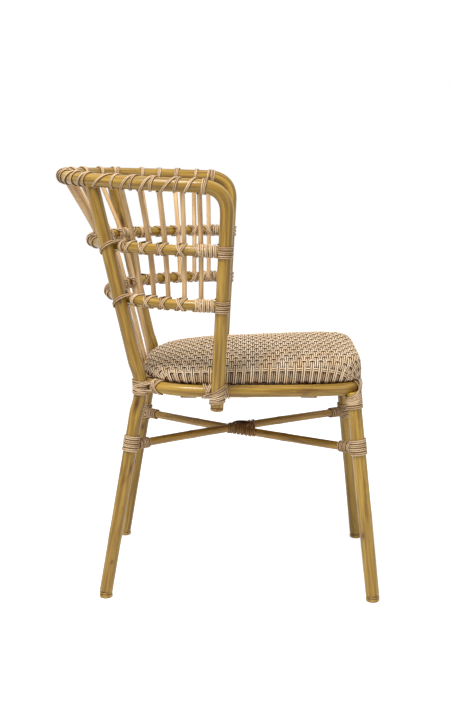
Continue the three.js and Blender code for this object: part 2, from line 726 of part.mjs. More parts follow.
/** Loops drawn tight round a bundle of poles, in planes square to an axis that move along it. */
function bundleLoops(poles, { centre, axis, start, turns, pitch, steps, sense = 1 }) {
  const right = squareTo(axis, start);
  const left = axis.clone().cross(right);
  return Array.from({ length: Math.round(turns * steps) + 1 }, (_, i) => {
    const angle = (sense * 2 * Math.PI * i) / steps;
    const origin = centre.clone().addScaledVector(axis, pitch * (i / steps - turns / 2));
    const facing = right.clone().multiplyScalar(Math.cos(angle)).addScaledVector(left, Math.sin(angle));
    let [best, most] = [origin, -Infinity];
    for (const { centre: middle, run, reach } of poles) {
      const slant = run.dot(axis);
      const hit = middle.clone().addScaledVector(run, origin.clone().sub(middle).dot(axis) / slant);
      const along = Math.abs(slant) < 1 - 1e-6 ? squareTo(axis, run) : right;
      const across = axis.clone().cross(along);
      const [long, short] = [(reach / slant) ** 2 * facing.dot(along), reach ** 2 * facing.dot(across)];
      const size = Math.sqrt(long * facing.dot(along) + short * facing.dot(across));
      const place = hit.addScaledVector(along, long / size).addScaledVector(across, short / size);
      const support = place.clone().sub(origin).dot(facing);
      if (support > most) [best, most] = [place, support];
    }
    return best;
  });
}

/** Turns round a pole that part where a second pole enters it, then a collar round the second. */
function jointTurns(pole, entering, { pitch, collarTurns, collarPitch }) {
  const { centre, run: axis } = pole;
  const inward = squareTo(axis, entering.run);
  const across = axis.clone().cross(inward);
  const slope = entering.run.dot(axis) / entering.run.dot(inward);
  const ring = pole.reach / Math.cos(Math.PI / LOOP_STEPS);
  const middleTurn = 2;
  const turns = 3.5;
  const stations = Array.from({ length: turns * LOOP_STEPS + 1 }, (_, i) => {
    const turn = i / LOOP_STEPS;
    const angle = Math.PI * (2 * turn + 1);
    const level = pitch * (turn - middleTurn);
    const bunched = entering.reach + (Math.abs(level) / pitch - 0.5) * (CORD_DIA + 1.5 * TURN_GAP);
    const parted = Math.sign(level) * bunched + ring * slope;
    const share = THREE.MathUtils.smoothstep(Math.cos(angle), -0.4, 0.7);
    return centre.clone()
      .addScaledVector(axis, THREE.MathUtils.lerp(level, parted, share))
      .addScaledVector(inward, ring * Math.cos(angle))
      .addScaledVector(across, ring * Math.sin(angle));
  });
  const first = ring + CORD_DIA + 2 * TURN_GAP + Math.abs(slope) * (entering.reach + pitch);
  for (let i = 0; i <= collarTurns * COLLAR_STEPS; i += 1) {
    const turn = i / COLLAR_STEPS;
    const distance = (first + collarPitch * turn) / entering.run.dot(inward);
    const guess = centre.clone().addScaledVector(entering.run, distance);
    const spot = nearest(guess, entering.chain);
    const out = squareTo(spot.run, axis);
    const aside = out.clone().cross(entering.run);
    const angle = 2 * Math.PI * turn;
    const reach = entering.reach / Math.cos(Math.PI / COLLAR_STEPS);
    stations.push(spot.place.clone()
      .addScaledVector(out, reach * Math.cos(angle))
      .addScaledVector(aside, reach * Math.sin(angle)));
  }
  return clearOf(stations, [pole, entering]);
}

/** The least gap of a cord to itself, measured between places at least a half turn apart. */
function selfGap(stations, steps) {
  const fine = 6;
  const places = resample(stations, (stations.length - 1) * fine);
  let least = Infinity;
  places.forEach((place, i) => {
    for (let k = i + Math.round(steps * fine / 2); k < places.length; k += 1) {
      least = Math.min(least, place.distanceTo(places[k]));
    }
  });
  return least - CORD_DIA;
}

const gaps = [];

function addCord(name, stations, steps, sides) {
  gaps.push({ name, gap: selfGap(stations, steps) });
  add(name, tube(stations, CORD_DIA, sides), 'cord');
}

const mirrored = (points) => points.map((place) => vec(-place.x, place.y, place.z));

/** Adds a lashing on both sides, wound the other way round on the left. */
function addPair(name, stations, steps, sides) {
  addCord(`${name}_right`, stations, steps, sides);
  addCord(`${name}_left`, mirrored(stations), steps, sides);
}

/** The stretchers' lashings to the legs, and the one where they cross. */
function lashStretchers() {
  const draw = (leg, diameter, stretcher) => {
    const pole = poleNear(leg, diameter, stretcher[0]);
    const entering = poleNear(stretcher, STRETCHER_DIA, stretcher[0]);
    return jointTurns(pole, entering, {
      pitch: STRETCHER_JOINT_PITCH, collarTurns: STRETCHER_COLLAR_TURNS, collarPitch: CORD_DIA + TURN_GAP,
    });
  };
  const { over, under } = lines;
  const ends = [
    ['rear_pole_stretcher_right', lines.rear_right, REAR_POLE_DIA, over],
    ['front_leg_stretcher_left', lines.front_left, FRONT_LEG_DIA, [...over].reverse()],
    ['rear_pole_stretcher_left', lines.rear_left, REAR_POLE_DIA, under],
    ['front_leg_stretcher_right', lines.front_right, FRONT_LEG_DIA, [...under].reverse()],
  ];
  for (const [name, ...end] of ends) addCord(`lashing_${name}`, draw(...end), LOOP_STEPS, CORD_SIDES);
  const centre = over[over.length >> 1].clone().setZ(crossingHeight);
  const poles = [over, under].map((points) => poleNear(points, STRETCHER_DIA, centre));
  const loops = bundleLoops(poles, {
    centre,
    axis: vec(0, 1, 0),
    start: UP.clone().negate(),
    turns: CROSSING_TURNS,
    pitch: CROSSING_PITCH,
    steps: LOOP_STEPS,
  });
  addCord('lashing_stretcher_crossing', clearOf(loops, poles), LOOP_STEPS, CORD_SIDES);
}

/** Slanting loops that tie a pole to one that it crosses. */
function slantedLoops(poles, { rise, turns, steps, start, pitch = CORD_DIA + 1.8 * TURN_GAP }) {
  const centre = poles[0].centre.clone().add(poles[1].centre).divideScalar(2);
  const axis = poles[0].run.clone().multiplyScalar(rise).add(poles[1].run).normalize();
  return bundleLoops(poles, { centre, axis, start, turns, pitch, steps });
}

/** A fan over the ring at a front leg's top, drawn on into level turns round the leg. */
function frontLegCord() {
  const leg = lines.front_right;
  const top = leg.at(-1);
  const pole = poleNear(leg, FRONT_LEG_DIA, top);
  const ring = poleNear(lines.ring, RING_DIA, top);
  const level = RING_HEIGHT - RING_DIA / 2 - 2 * LEG_FAN_TURNS * (CORD_DIA + TURN_GAP);
  const poles = [ring, pole];
  const pitch = CORD_DIA + 4 * TURN_GAP;
  const start = UP.clone().negate();
  const fan = slantedLoops(poles, {
    rise: LEG_FAN_RISE_SHARE, turns: LEG_FAN_LOOPS, steps: FAN_STEPS, start, pitch,
  });
  const turns = bundleLoops([pole], {
    centre: atHeight(leg, level),
    axis: pole.run.clone().negate(),
    start: fan.at(-1).clone().sub(atHeight(leg, level)),
    turns: LEG_FAN_TURNS,
    pitch: CORD_DIA + TURN_GAP,
    steps: LOOP_STEPS,
  });
  return clearOf([...fan, ...turns], poles);
}

/** Lashings of the ring to the rear poles, the front posts and the front legs. */
function lashRing() {
  const inside = vec(0, 0, RING_HEIGHT);
  const ringNear = (place) => poleNear(lines.ring, RING_DIA, place);
  const facing = (poles) => inside.clone().sub(poles[0].centre).normalize();
  const kink = rearPoleKink(-1);
  const rear = [poleNear(lines.rear_right, REAR_POLE_DIA, kink), ringNear(kink)];
  const rearLoops = slantedLoops(rear, {
    rise: POLE_RING_RISE_SHARE, turns: POLE_RING_TURNS, steps: SLANTED_STEPS, start: facing(rear),
  });
  addPair('lashing_rear_pole_ring', clearOf(rearLoops, rear), SLANTED_STEPS, CORD_SIDES);
  const post = atHeight(lines.hoop, RING_HEIGHT);
  const front = [poleNear(lines.hoop, HOOP_DIA, post), ringNear(post)];
  const frontLoops = slantedLoops(front, {
    rise: POST_RING_RISE_SHARE, turns: POST_RING_TURNS, steps: SLANTED_STEPS, start: facing(front),
  });
  addPair('lashing_front_post_ring', clearOf(frontLoops, front), SLANTED_STEPS, CORD_SIDES);
  addPair('lashing_front_leg_ring', frontLegCord(), LOOP_STEPS, CORD_SIDES);
}

/** Lashings of the middle rails to the posts and the rear poles. */
function lashMiddleRails() {
  const rails = { upper: upperRailHeight, lower: lowerRailHeight };
  for (const [word, height] of Object.entries(rails)) {
    const rail = [...lines[word]].reverse();
    const post = atHeight(lines.hoop, height);
    const pole = poleNear(lines.hoop, HOOP_DIA, post);
    const turns = jointTurns(pole, poleNear(rail, MID_RAIL_DIA, post), {
      pitch: RAIL_JOINT_PITCH, collarTurns: RAIL_COLLAR_TURNS, collarPitch: CORD_DIA + TURN_GAP,
    });
    addPair(`lashing_${word}_rail_post`, turns, LOOP_STEPS, CORD_SIDES);
    const crossing = atHeight(lines.rear_right, height);
    const poles = [
      poleNear(lines.rear_right, REAR_POLE_DIA, crossing), poleNear(rail, MID_RAIL_DIA, crossing),
    ];
    const start = poles[1].centre.clone().sub(poles[0].centre);
    const loops = slantedLoops(poles, {
      rise: POLE_RAIL_RISE_SHARE, turns: POLE_RAIL_TURNS, steps: SLANTED_STEPS, start,
    });
    addPair(`lashing_${word}_rail_pole`, clearOf(loops, poles), SLANTED_STEPS, CORD_SIDES);
  }
}

/** Where the chain passes nearest to a place, as a count of its points. */
function placeOn(points, place) {
  let [best, least] = [0, Infinity];
  const fine = 20;
  for (let i = 0; i <= (points.length - 1) * fine; i += 1) {
    const found = points[Math.floor(i / fine)].clone();
    if (i % fine) found.lerp(points[Math.floor(i / fine) + 1], (i % fine) / fine);
    const distance = found.distanceTo(place);
    if (distance < least) [best, least] = [i / fine, distance];
  }
  return best;
}

/** A spiral along the top rail: once round for each spindle or pole, and close turns at its ends. */
function topRailCord() {
  const rail = lines.hoop.slice(HOOP_BEND_POINTS, -HOOP_BEND_POINTS);
  const tops = [...spindles.right, ...spindles.rear, ...spindles.left, lines.rear_right, lines.rear_left]
    .map((points) => [points[0], points.at(-1)].sort((a, b) => b.z - a.z)[0]);
  const chain = new Stations(rail);
  const lengths = rail.map((_, i) => rail.slice(0, i + 1)
    .reduce((sum, place, k) => sum + (k ? place.distanceTo(rail[k - 1]) : 0), 0));
  const lengthAt = (count) => {
    const low = Math.min(Math.floor(count), rail.length - 2);
    return THREE.MathUtils.lerp(lengths[low], lengths[low + 1], count - low);
  };
  const placeAt = (length) => {
    const high = Math.max(1, lengths.findIndex((value) => value >= length));
    const share = (length - lengths[high - 1]) / (lengths[high] - lengths[high - 1]);
    return chain.getPoint((high - 1 + share) / (rail.length - 1));
  };
  const stops = tops.map((place) => lengthAt(placeOn(rail, place))).sort((a, b) => a - b);
  const stand = SPINDLE_DIA + 2 * (CORD_DIA + CORD_GAP);
  const close = (from, sense) => Array.from(
    { length: TOP_END_TURNS }, (_, i) => from + sense * (stand + i * (CORD_DIA + TURN_GAP)),
  );
  const all = [...close(stops[0], -1).reverse(), ...stops, ...close(stops.at(-1), 1)];
  const poles = [
    { chain: rail, reach: HOOP_DIA / 2 + CORD_DIA / 2 + CORD_GAP },
    ...[...spindles.right, ...spindles.rear, ...spindles.left]
      .map((points) => ({ chain: points.slice(0, 3), reach: (SPINDLE_DIA + CORD_DIA) / 2 + CORD_GAP })),
    ...['right', 'left'].map((word) => ({
      chain: lines[`rear_${word}`].slice(-2), reach: (REAR_POLE_DIA + CORD_DIA) / 2 + CORD_GAP,
    })),
  ];
  const stations = [];
  for (let i = 0; i < (all.length - 1) * TOP_STEPS; i += 1) {
    const turn = Math.floor(i / TOP_STEPS);
    const share = (i % TOP_STEPS) / TOP_STEPS;
    const length = THREE.MathUtils.lerp(all[turn], all[turn + 1], share);
    const place = placeAt(length);
    const run = placeAt(length + 1).sub(placeAt(length - 1)).normalize();
    const out = squareTo(run, UP);
    const aside = run.clone().cross(out);
    const reach = poles[0].reach / Math.cos(Math.PI / TOP_STEPS);
    const angle = 2 * Math.PI * share;
    stations.push(place
      .addScaledVector(out, reach * Math.cos(angle))
      .addScaledVector(aside, reach * Math.sin(angle)));
  }
  return clearOf(stations, poles);
}

/** A tie along a middle rail, with a slanting loop round the rail and each spindle. */
function railTie(word, height) {
  const rail = [...lines[word]].reverse();
  const row = [...spindles.right, ...spindles.rear, ...spindles.left].map((points) => [...points].reverse())
    .map((points) => ({ points, place: atHeight(points, height) }))
    .map((entry) => ({ ...entry, along: placeOn(rail, entry.place) }));
  for (const side of Object.keys(SIDES)) {
    const place = atHeight(lines[`rear_${side}`], height);
    row.push({ place, along: placeOn(rail, place) });
  }
  row.sort((a, b) => a.along - b.along);
  const below = rail[0].clone().setZ(height - (MID_RAIL_DIA + CORD_DIA) / 2 - CORD_GAP);
  const stations = row.flatMap(({ points, place }) => {
    const railPole = poleNear(rail, MID_RAIL_DIA, place);
    if (!points) {
      const drop = below.z - CORD_DIA - 2 * CORD_GAP;
      const shift = Math.sign(-place.x) * TIE_BRIDGE_SHIFT;
      return [-1, 1].map((sense) => railPole.centre.clone()
        .addScaledVector(railPole.run, sense * TIE_BRIDGE / 2 + shift).setZ(drop));
    }
    const poles = [poleNear(points, SPINDLE_DIA, place), railPole];
    const half = place.x < 1 ? 1 : -1;
    const axis = railPole.run.clone().addScaledVector(poles[0].run, half * TIE_RISE_SHARE).normalize();
    const centre = poles[0].centre.clone().add(railPole.centre).divideScalar(2);
    const start = railPole.centre.clone().sub(poles[0].centre).normalize().sub(UP);
    const pitch = CORD_DIA + 1.5 * TURN_GAP;
    const loop = { centre, axis, start, turns: 1, pitch, steps: LOOP_STEPS, sense: half };
    return clearOf(bundleLoops(poles, loop), poles);
  });
  return clearOf(stations, [{ chain: rail, reach: (MID_RAIL_DIA + CORD_DIA) / 2 + CORD_GAP }]);
}

lashStretchers();
lashRing();
lashMiddleRails();
addCord('lashing_top_rail', topRailCord(), TOP_STEPS, TIE_SIDES);
addCord('lashing_upper_rail_spindles', railTie('upper', upperRailHeight), LOOP_STEPS, TIE_SIDES);
addCord('lashing_lower_rail_spindles', railTie('lower', lowerRailHeight), LOOP_STEPS, TIE_SIDES);

const report = gaps.map(({ name, gap }) => `${name} ${gap.toFixed(2)}`);
console.log(`Least gap of each cord to itself, mm:\n${report.join('\n')}`);

const bounds = new THREE.Box3().setFromObject(chair);
chair.position.y = -(bounds.min.y + bounds.max.y) / 2;

export default chair;
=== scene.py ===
"""Looks of a rattan bistro chair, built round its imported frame.

Lengths are metres. X runs to the sitter's left, Y to the rear and Z up, as in the frame. Poles,
spindles, lashings and the woven seat follow the centre lines of the frame's solids, with the
roundness, the marks, the paired cord and the weave that those solids leave out. While a line is
drawn, y = 0 is the line through both front posts at seat level.
"""

import logging
import math
from dataclasses import dataclass
from enum import Enum

import bpy
import numpy as np
from mathutils import Matrix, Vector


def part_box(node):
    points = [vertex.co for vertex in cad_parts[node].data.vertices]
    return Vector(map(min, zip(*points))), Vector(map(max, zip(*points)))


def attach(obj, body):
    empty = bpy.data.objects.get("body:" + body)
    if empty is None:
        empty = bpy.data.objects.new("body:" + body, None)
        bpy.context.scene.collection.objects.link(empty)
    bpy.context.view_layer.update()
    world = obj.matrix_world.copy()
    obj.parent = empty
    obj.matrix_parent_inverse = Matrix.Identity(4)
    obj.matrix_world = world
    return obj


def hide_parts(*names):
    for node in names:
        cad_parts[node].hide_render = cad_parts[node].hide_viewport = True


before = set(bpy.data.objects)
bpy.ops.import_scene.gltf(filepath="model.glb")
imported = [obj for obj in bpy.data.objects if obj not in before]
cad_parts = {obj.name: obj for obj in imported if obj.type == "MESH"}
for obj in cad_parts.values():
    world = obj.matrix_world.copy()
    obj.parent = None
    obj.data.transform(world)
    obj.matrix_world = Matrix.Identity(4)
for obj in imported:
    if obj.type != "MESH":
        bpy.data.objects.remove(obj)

log = logging.getLogger("bistro_chair")
UP = np.array([0.0, 0.0, 1.0])
BACK = np.array([0.0, 1.0, 0.0])
ACROSS = np.array([1.0, 0.0, 0.0])
GOLDEN = 0.618
Colour = tuple[float, float, float]
Place = tuple[float, float, float]


# Lines in space


def unit(vectors: np.ndarray) -> np.ndarray:
    """Vectors scaled to a length of one."""
    return vectors / np.maximum(np.linalg.norm(vectors, axis=-1, keepdims=True), 1e-12)


def square_to(axis: np.ndarray, direction: np.ndarray) -> np.ndarray:
    """The part of a direction that is square to an axis, with a length of one."""
    return unit(direction - (direction @ axis) * axis)


def lengths_along(points: np.ndarray) -> np.ndarray:
    """How far each point of a line lies along it."""
    return np.concatenate([[0.0], np.cumsum(np.linalg.norm(np.diff(points, axis=0), axis=1))])


def read_along(values: np.ndarray, run: np.ndarray, places: np.ndarray) -> np.ndarray:
    """Vectors given at lengths along a line, read at other lengths."""
    return np.stack([np.interp(places, run, values[:, k]) for k in range(3)], axis=-1)


def at_lengths(points: np.ndarray, places: np.ndarray) -> np.ndarray:
    """Places at given lengths along a line."""
    return read_along(points, lengths_along(points), places)


def resampled(points: np.ndarray, step: float) -> np.ndarray:
    """A line redrawn with even steps."""
    total = lengths_along(points)[-1]
    return at_lengths(points, np.linspace(0.0, total, max(2, round(total / step) + 1)))


def quadratic(start: np.ndarray, middle: np.ndarray, end: np.ndarray, count: int) -> np.ndarray:
    """A plain bend between two points.

    Args:
        start: Where the bend begins.
        middle: Where the lines on both sides of it would meet.
        end: Where it ends.
        count: How many steps it has.

    Returns:
        The points of the bend.
    """
    share = np.linspace(0.0, 1.0, count + 1)[:, None]
    return (1 - share) ** 2 * start + 2 * share * (1 - share) * middle + share**2 * end


def smooth_through(points: np.ndarray, count: int) -> np.ndarray:
    """A smooth line through points, with centripetal knots.

    Args:
        points: The points that the line passes through, or a set of them for several lines.
        count: Steps between two of them.

    Returns:
        The points of the line or lines.
    """
    ends = [2 * points[0] - points[1], *points, 2 * points[-1] - points[-2]]
    share = np.linspace(0.0, 1.0, count, endpoint=False).reshape(-1, *[1] * (points.ndim - 1))
    line = []
    for a, b, c, d in zip(ends, ends[1:], ends[2:], ends[3:]):
        before, second, third = (
            np.linalg.norm(q - p, axis=-1, keepdims=True) ** 0.5 for p, q in ((a, b), (b, c), (c, d))
        )
        after, last = before + second, before + second + third
        t = before + second * share
        ab = ((before - t) * a + t * b) / before
        bc = ((after - t) * b + (t - before) * c) / second
        cd = ((last - t) * c + (t - after) * d) / third
        abc = ((after - t) * ab + t * bc) / after
        bcd = ((last - t) * bc + (t - before) * cd) / (last - before)
        line.append(((after - t) * abc + (t - before) * bcd) / second)
    return np.concatenate([*line, points[-1:]])


def nearest(places: np.ndarray, line: np.ndarray) -> tuple[np.ndarray, np.ndarray]:
    """The nearest place on a line to each of some places.

    Args:
        places: Places to start from.
        line: The line's points.

    Returns:
        The places found, and the line's direction at each.
    """
    runs = np.diff(line, axis=0)
    squares = np.maximum((runs**2).sum(axis=1), 1e-18)
    shares = np.einsum("psk,sk->ps", places[:, None] - line[:-1], runs) / squares
    found = line[:-1] + np.clip(shares, 0.0, 1.0)[..., None] * runs
    best = np.linalg.norm(places[:, None] - found, axis=2).argmin(axis=1)
    return found[np.arange(len(places)), best], unit(runs[best])


def at_height(line: np.ndarray, height: float) -> np.ndarray:
    """The place at a height on a line that rises."""
    return np.array([np.interp(height, line[:, 2], line[:, k]) for k in range(3)])


def mirrored(points: np.ndarray) -> np.ndarray:
    """Points carried over to the chair's other side."""
    return points * np.array([-1.0, 1.0, 1.0])


@dataclass(frozen=True)
class PlanCurve:
    """A rounded outline round (0, centre_y), where a higher power gives squarer corners."""

    half_width: float
    centre_y: float
    rear_reach: float
    rear_power: float
    front_reach: float = 0.0
    front_power: float = 1.0
    taper: float = 0.0

    def at(self, angles: np.ndarray, inset: float = 0.0) -> np.ndarray:
        """Places at angles from +X, moved in by an inset, at height zero.

        Args:
            angles: The angles.
            inset: How far inside the outline the places lie.

        Returns:
            The place at each angle.
        """
        angles = np.asarray(angles, float)
        c, s = np.cos(angles), np.sin(angles)
        front = (s < 0) & (self.front_reach > 0)
        reach = np.where(front, self.front_reach, self.rear_reach)
        power = np.where(front, self.front_power, self.rear_power)
        radius = (np.abs(c / self.half_width) ** power + np.abs(s / reach) ** power) ** (-1 / power)
        narrowing = 1 + np.where(front, self.taper * radius * s / reach, 0.0)
        place = np.stack([radius * c * narrowing, self.centre_y + radius * s, 0 * c], axis=-1)
        return place - inset * self.outward(angles) if inset else place

    def outward(self, angles: np.ndarray) -> np.ndarray:
        """The outline's outward directions at angles."""
        run = unit(self.at(angles + 1e-3) - self.at(angles - 1e-3))
        return np.stack([run[..., 1], -run[..., 0], 0 * run[..., 0]], axis=-1)

    def angle_at(self, axis: int, value: float, rear: bool = True) -> float:
        """The angle on the left half where the outline has a given x or y.

        Args:
            axis: 0 for x and 1 for y.
            value: The x or y to find.
            rear: Whether to look in the rear half.

        Returns:
            The angle from +X.
        """
        angles = np.linspace(0.0, math.pi / 2, 2001) * (1 if rear else -1)
        return float(angles[np.abs(self.at(angles)[:, axis] - value).argmin()])


class Side(Enum):
    """The sitter's right and left."""

    RIGHT = -1
    LEFT = 1

    @property
    def word(self) -> str:
        """The side's name in node names."""
        return self.name.lower()

    def angle(self, angle: float) -> float:
        """An outline's angle on this side for an angle on its left half."""
        return angle if self is Side.LEFT else math.pi - angle


# Meshes


def ring_faces(count: int, sides: int) -> list[list[int]]:
    """Faces between rings of points, with a cap on the first and the last ring.

    Args:
        count: How many rings there are.
        sides: How many points each ring has.

    Returns:
        The faces.
    """
    first = np.arange(count - 1)[:, None] * sides
    here, after = np.arange(sides), (np.arange(sides) + 1) % sides
    quads = np.stack([first + here, first + after, first + sides + after, first + sides + here], axis=-1)
    last = (count - 1) * sides
    return [*quads.reshape(-1, 4).tolist(), list(range(sides - 1, -1, -1)), list(range(last, last + sides))]


class Pieces:
    """Tubes and shells gathered into one mesh, with where each point lies in the grain."""

    # Where the painted shade along a tube's flanks starts and how fast it fades.
    flank_start = 0.6
    flank_fade = 2.2

    def __init__(self) -> None:
        """Starts with nothing in it."""
        self.points: list[np.ndarray] = []
        self.faces: list[list[int]] = []
        self.grain: list[np.ndarray] = []
        self.tone: list[np.ndarray] = []
        self.marks: list[np.ndarray] = []
        self.count = 0

    def add(self, points: np.ndarray, faces: list[list[int]], grain: np.ndarray, tone: float,
            marks: np.ndarray | None = None) -> None:
        """Adds points and faces.

        Args:
            points: The new points.
            faces: Faces, counted from the first new point.
            grain: For each point, its place across and along the piece as if it were straight.
            tone: A value from 0 to 1 that shifts the piece's colour.
            marks: For each point, how strongly a knot, a stain or painted shade shows.
        """
        self.faces += [[i + self.count for i in face] for face in faces]
        self.points.append(points)
        self.grain.append(grain)
        self.tone.append(np.full(len(points), tone))
        self.marks.append(np.zeros(len(points)) if marks is None else marks)
        self.count += len(points)

    def add_tube(self, line: np.ndarray, wide: float | np.ndarray, thick: float | np.ndarray | None = None,
                 sides: int = 8, edge: float = 0.0, normals: np.ndarray | None = None,
                 tone: float = 0.5, stains: list["Stain"] | None = None,
                 painted_shade: float | np.ndarray | None = None) -> None:
        """Adds a round or flat tube along a line.

        Args:
            line: The tube's centre line.
            wide: Half its width, along the line or the same all over.
            thick: Half its thickness along the normals, or None where it is round.
            sides: How many sides it has.
            edge: The rounding of its ends.
            normals: The direction of its thickness at each point of the line.
            tone: The piece's tone.
            stains: Marks on its skin.
            painted_shade: How deep it lies among its neighbours at each point, from 0 to 1, painted as shade
            all round it and along its flanks, or None where no shade is painted.
        """
        run = lengths_along(line)
        wide = np.broadcast_to(wide, len(line)).astype(float)
        thick = wide if thick is None else np.broadcast_to(thick, len(line)).astype(float)
        places, inset = run, np.zeros(len(run))
        if edge > 0:
            turn = np.radians([0.0, 30.0, 60.0])
            ends, rim = edge * (1 - np.cos(turn)), edge * (1 - np.sin(turn))
            middle = run[(run > edge) & (run < run[-1] - edge)]
            places = np.concatenate([ends, middle, run[-1] - ends[::-1]])
            inset = np.concatenate([rim, np.zeros(len(middle)), rim[::-1]])
            wide = np.interp(places, run, wide) - inset
            thick = np.interp(places, run, thick) - inset
            normals = None if normals is None else unit(read_along(normals, run, places))
            line = read_along(line, run, places)
        runs = unit(np.gradient(line, axis=0))
        normals = carried_normals(runs) if normals is None else unit(
            normals - (normals * runs).sum(axis=1, keepdims=True) * runs
        )
        across = np.cross(normals, runs)
        angles = 2 * math.pi * (np.arange(sides) + 0.5) / sides
        c, s = wide[:, None] * np.cos(angles), thick[:, None] * np.sin(angles)
        points = line[:, None] + c[..., None] * across[:, None] + s[..., None] * normals[:, None]
        grain = np.stack([c, s, np.broadcast_to(places[:, None], c.shape)], axis=-1)
        marks = np.zeros(c.shape)
        # Painted shade: the flanks where the tube lies against its neighbours go dark, and the given shade is
        # added all round.
        if painted_shade is not None:
            deep = np.interp(places, run, np.broadcast_to(painted_shade, len(run)))[:, None]
            marks = np.clip((self.flank_start - np.sin(angles)) * self.flank_fade, 0.0, 1.0) + deep
        for stain in stains or []:
            marks = np.maximum(marks, stain.shown(points, places, line))
        self.add(points.reshape(-1, 3), ring_faces(len(line), sides), grain.reshape(-1, 3), tone,
                 marks.ravel())

    def build(self, name: str, finish: "Finish", slot: str, replaces: list[str], mirror: bool = False,
              ) -> bpy.types.Object:
        """Makes the object, dresses it and gives it to the frame.

        Args:
            name: The piece's name.
            finish: What it is dressed in.
            slot: Not used.
            replaces: The nodes that it stands for.
            mirror: Whether it is carried over to the other side.

        Returns:
            The new object.
        """
        points, faces = np.concatenate(self.points), self.faces
        if mirror:
            points, faces = mirrored(points), [face[::-1] for face in faces]
        mesh = bpy.data.meshes.new(name)
        mesh.from_pydata((points + [0.0, Skeleton.shift, 0.0]).tolist(), [], faces)
        mesh.shade_smooth()
        for word, kind, values in (
            ("grain", "FLOAT_VECTOR", np.concatenate(self.grain)),
            ("tone", "FLOAT", np.concatenate(self.tone)),
            ("mark", "FLOAT", np.concatenate(self.marks)),
        ):
            layer = mesh.attributes.new(word, kind, "POINT")
            layer.data.foreach_set("vector" if kind == "FLOAT_VECTOR" else "value", values.ravel())
        mesh.materials.append(finish.material())
        piece = bpy.data.objects.new(name, mesh)
        bpy.context.scene.collection.objects.link(piece)
        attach(piece, "root")
        if replaces:
            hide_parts(*replaces)
        log.info("%s: %d faces", name, len(faces))
        return piece


def carried_normals(runs: np.ndarray) -> np.ndarray:
    """Normals that turn as little as they can along a line of directions.

    Args:
        runs: The line's direction at each point.

    Returns:
        A normal at each point.
    """
    start = UP if abs(runs[0, 2]) < 0.9 else ACROSS
    normal, found = square_to(runs[0], start), []
    for run in runs:
        normal = square_to(run, normal)
        found.append(normal)
    return np.array(found)


@dataclass(frozen=True)
class Stain:
    """A brown mark on a pole's skin, longer along the grain."""

    along: float
    facing: Colour
    length: float
    width: float
    fullness = 1.3
    stride = 0.01

    def shown(self, points: np.ndarray, places: np.ndarray, line: np.ndarray) -> np.ndarray:
        """How strongly the mark shows at each point of a tube.

        Args:
            points: The tube's points, ring by ring.
            places: How far along each ring lies.
            line: The tube's centre line.

        Returns:
            A value from 0 to 1 for each point.
        """
        here, after = (np.abs(places - self.along - stride).argmin() for stride in (0.0, self.stride))
        run = unit(line[here] - line[after])
        out = square_to(run, np.array(self.facing))
        radius = np.linalg.norm(points - line[:, None], axis=2)
        around = radius * np.arccos(np.clip(((points - line[:, None]) @ out) / radius, -1.0, 1.0))
        distance = np.hypot((places[:, None] - self.along) / self.length, around / self.width)
        return np.clip(self.fullness - distance, 0.0, 1.0)


# Finishes


def link_or_set(tree: bpy.types.NodeTree, socket: bpy.types.NodeSocket, value: object) -> None:
    """Joins a socket to another, or gives it a value.

    Args:
        tree: The tree of both sockets.
        socket: The socket to fill.
        value: Another socket, or a plain value.
    """
    if isinstance(value, bpy.types.NodeSocket):
        tree.links.new(value, socket)
    else:
        socket.default_value = value


class Graph:
    """Short calls that fill a node tree."""

    def __init__(self, tree: bpy.types.NodeTree) -> None:
        """Starts on an empty tree."""
        self.tree = tree
        tree.nodes.clear()

    def node(self, kind: str, inputs: dict[str | int, object] | None = None, **settings: object,
             ) -> bpy.types.Node:
        """Adds a node.

        Args:
            kind: The node's type name, without ShaderNode.
            inputs: Values or sockets for its inputs.
            settings: Values of its own properties.

        Returns:
            The new node.
        """
        made = self.tree.nodes.new(kind if kind.startswith("Node") else f"ShaderNode{kind}")
        for key, value in settings.items():
            setattr(made, key, value)
        for key, value in (inputs or {}).items():
            link_or_set(self.tree, made.inputs[key], value)
        return made

    def math(self, operation: str, a: object, b: object = 0.0, clamp: bool = False) -> bpy.types.NodeSocket:
        """The result of one sum."""
        return self.node("Math", {0: a, 1: b}, operation=operation, use_clamp=clamp).outputs[0]

    def mix(self, share: object, a: object, b: object) -> bpy.types.NodeSocket:
        """Two colours mixed by a share.

        Args:
            share: How much of the second one there is.
            a: The first colour.
            b: The second colour.

        Returns:
            The mixed colour.
        """
        made = self.node("Mix", {"Factor": share}, data_type="RGBA")
        link_or_set(self.tree, made.inputs[6], a)
        link_or_set(self.tree, made.inputs[7], b)
        return made.outputs[2]


def new_group(name: str, inputs: dict[str, str], outputs: dict[str, str],
              ) -> tuple[Graph, bpy.types.Node, bpy.types.Node]:
    """Starts a shared node group.

    Args:
        name: The group's name.
        inputs: Names and socket types of its inputs.
        outputs: Names and socket types of its outputs.

    Returns:
        The group's graph, its input node and its output node.
    """
    tree = bpy.data.node_groups.new(name, "ShaderNodeTree")
    for in_out, sockets in (("INPUT", inputs), ("OUTPUT", outputs)):
        for word, kind in sockets.items():
            tree.interface.new_socket(name=word, in_out=in_out, socket_type=kind)
    graph = Graph(tree)
    return graph, graph.node("NodeGroupInput"), graph.node("NodeGroupOutput")


MOTTLE_TOP = 0.78
MOTTLE_FADE = 0.16


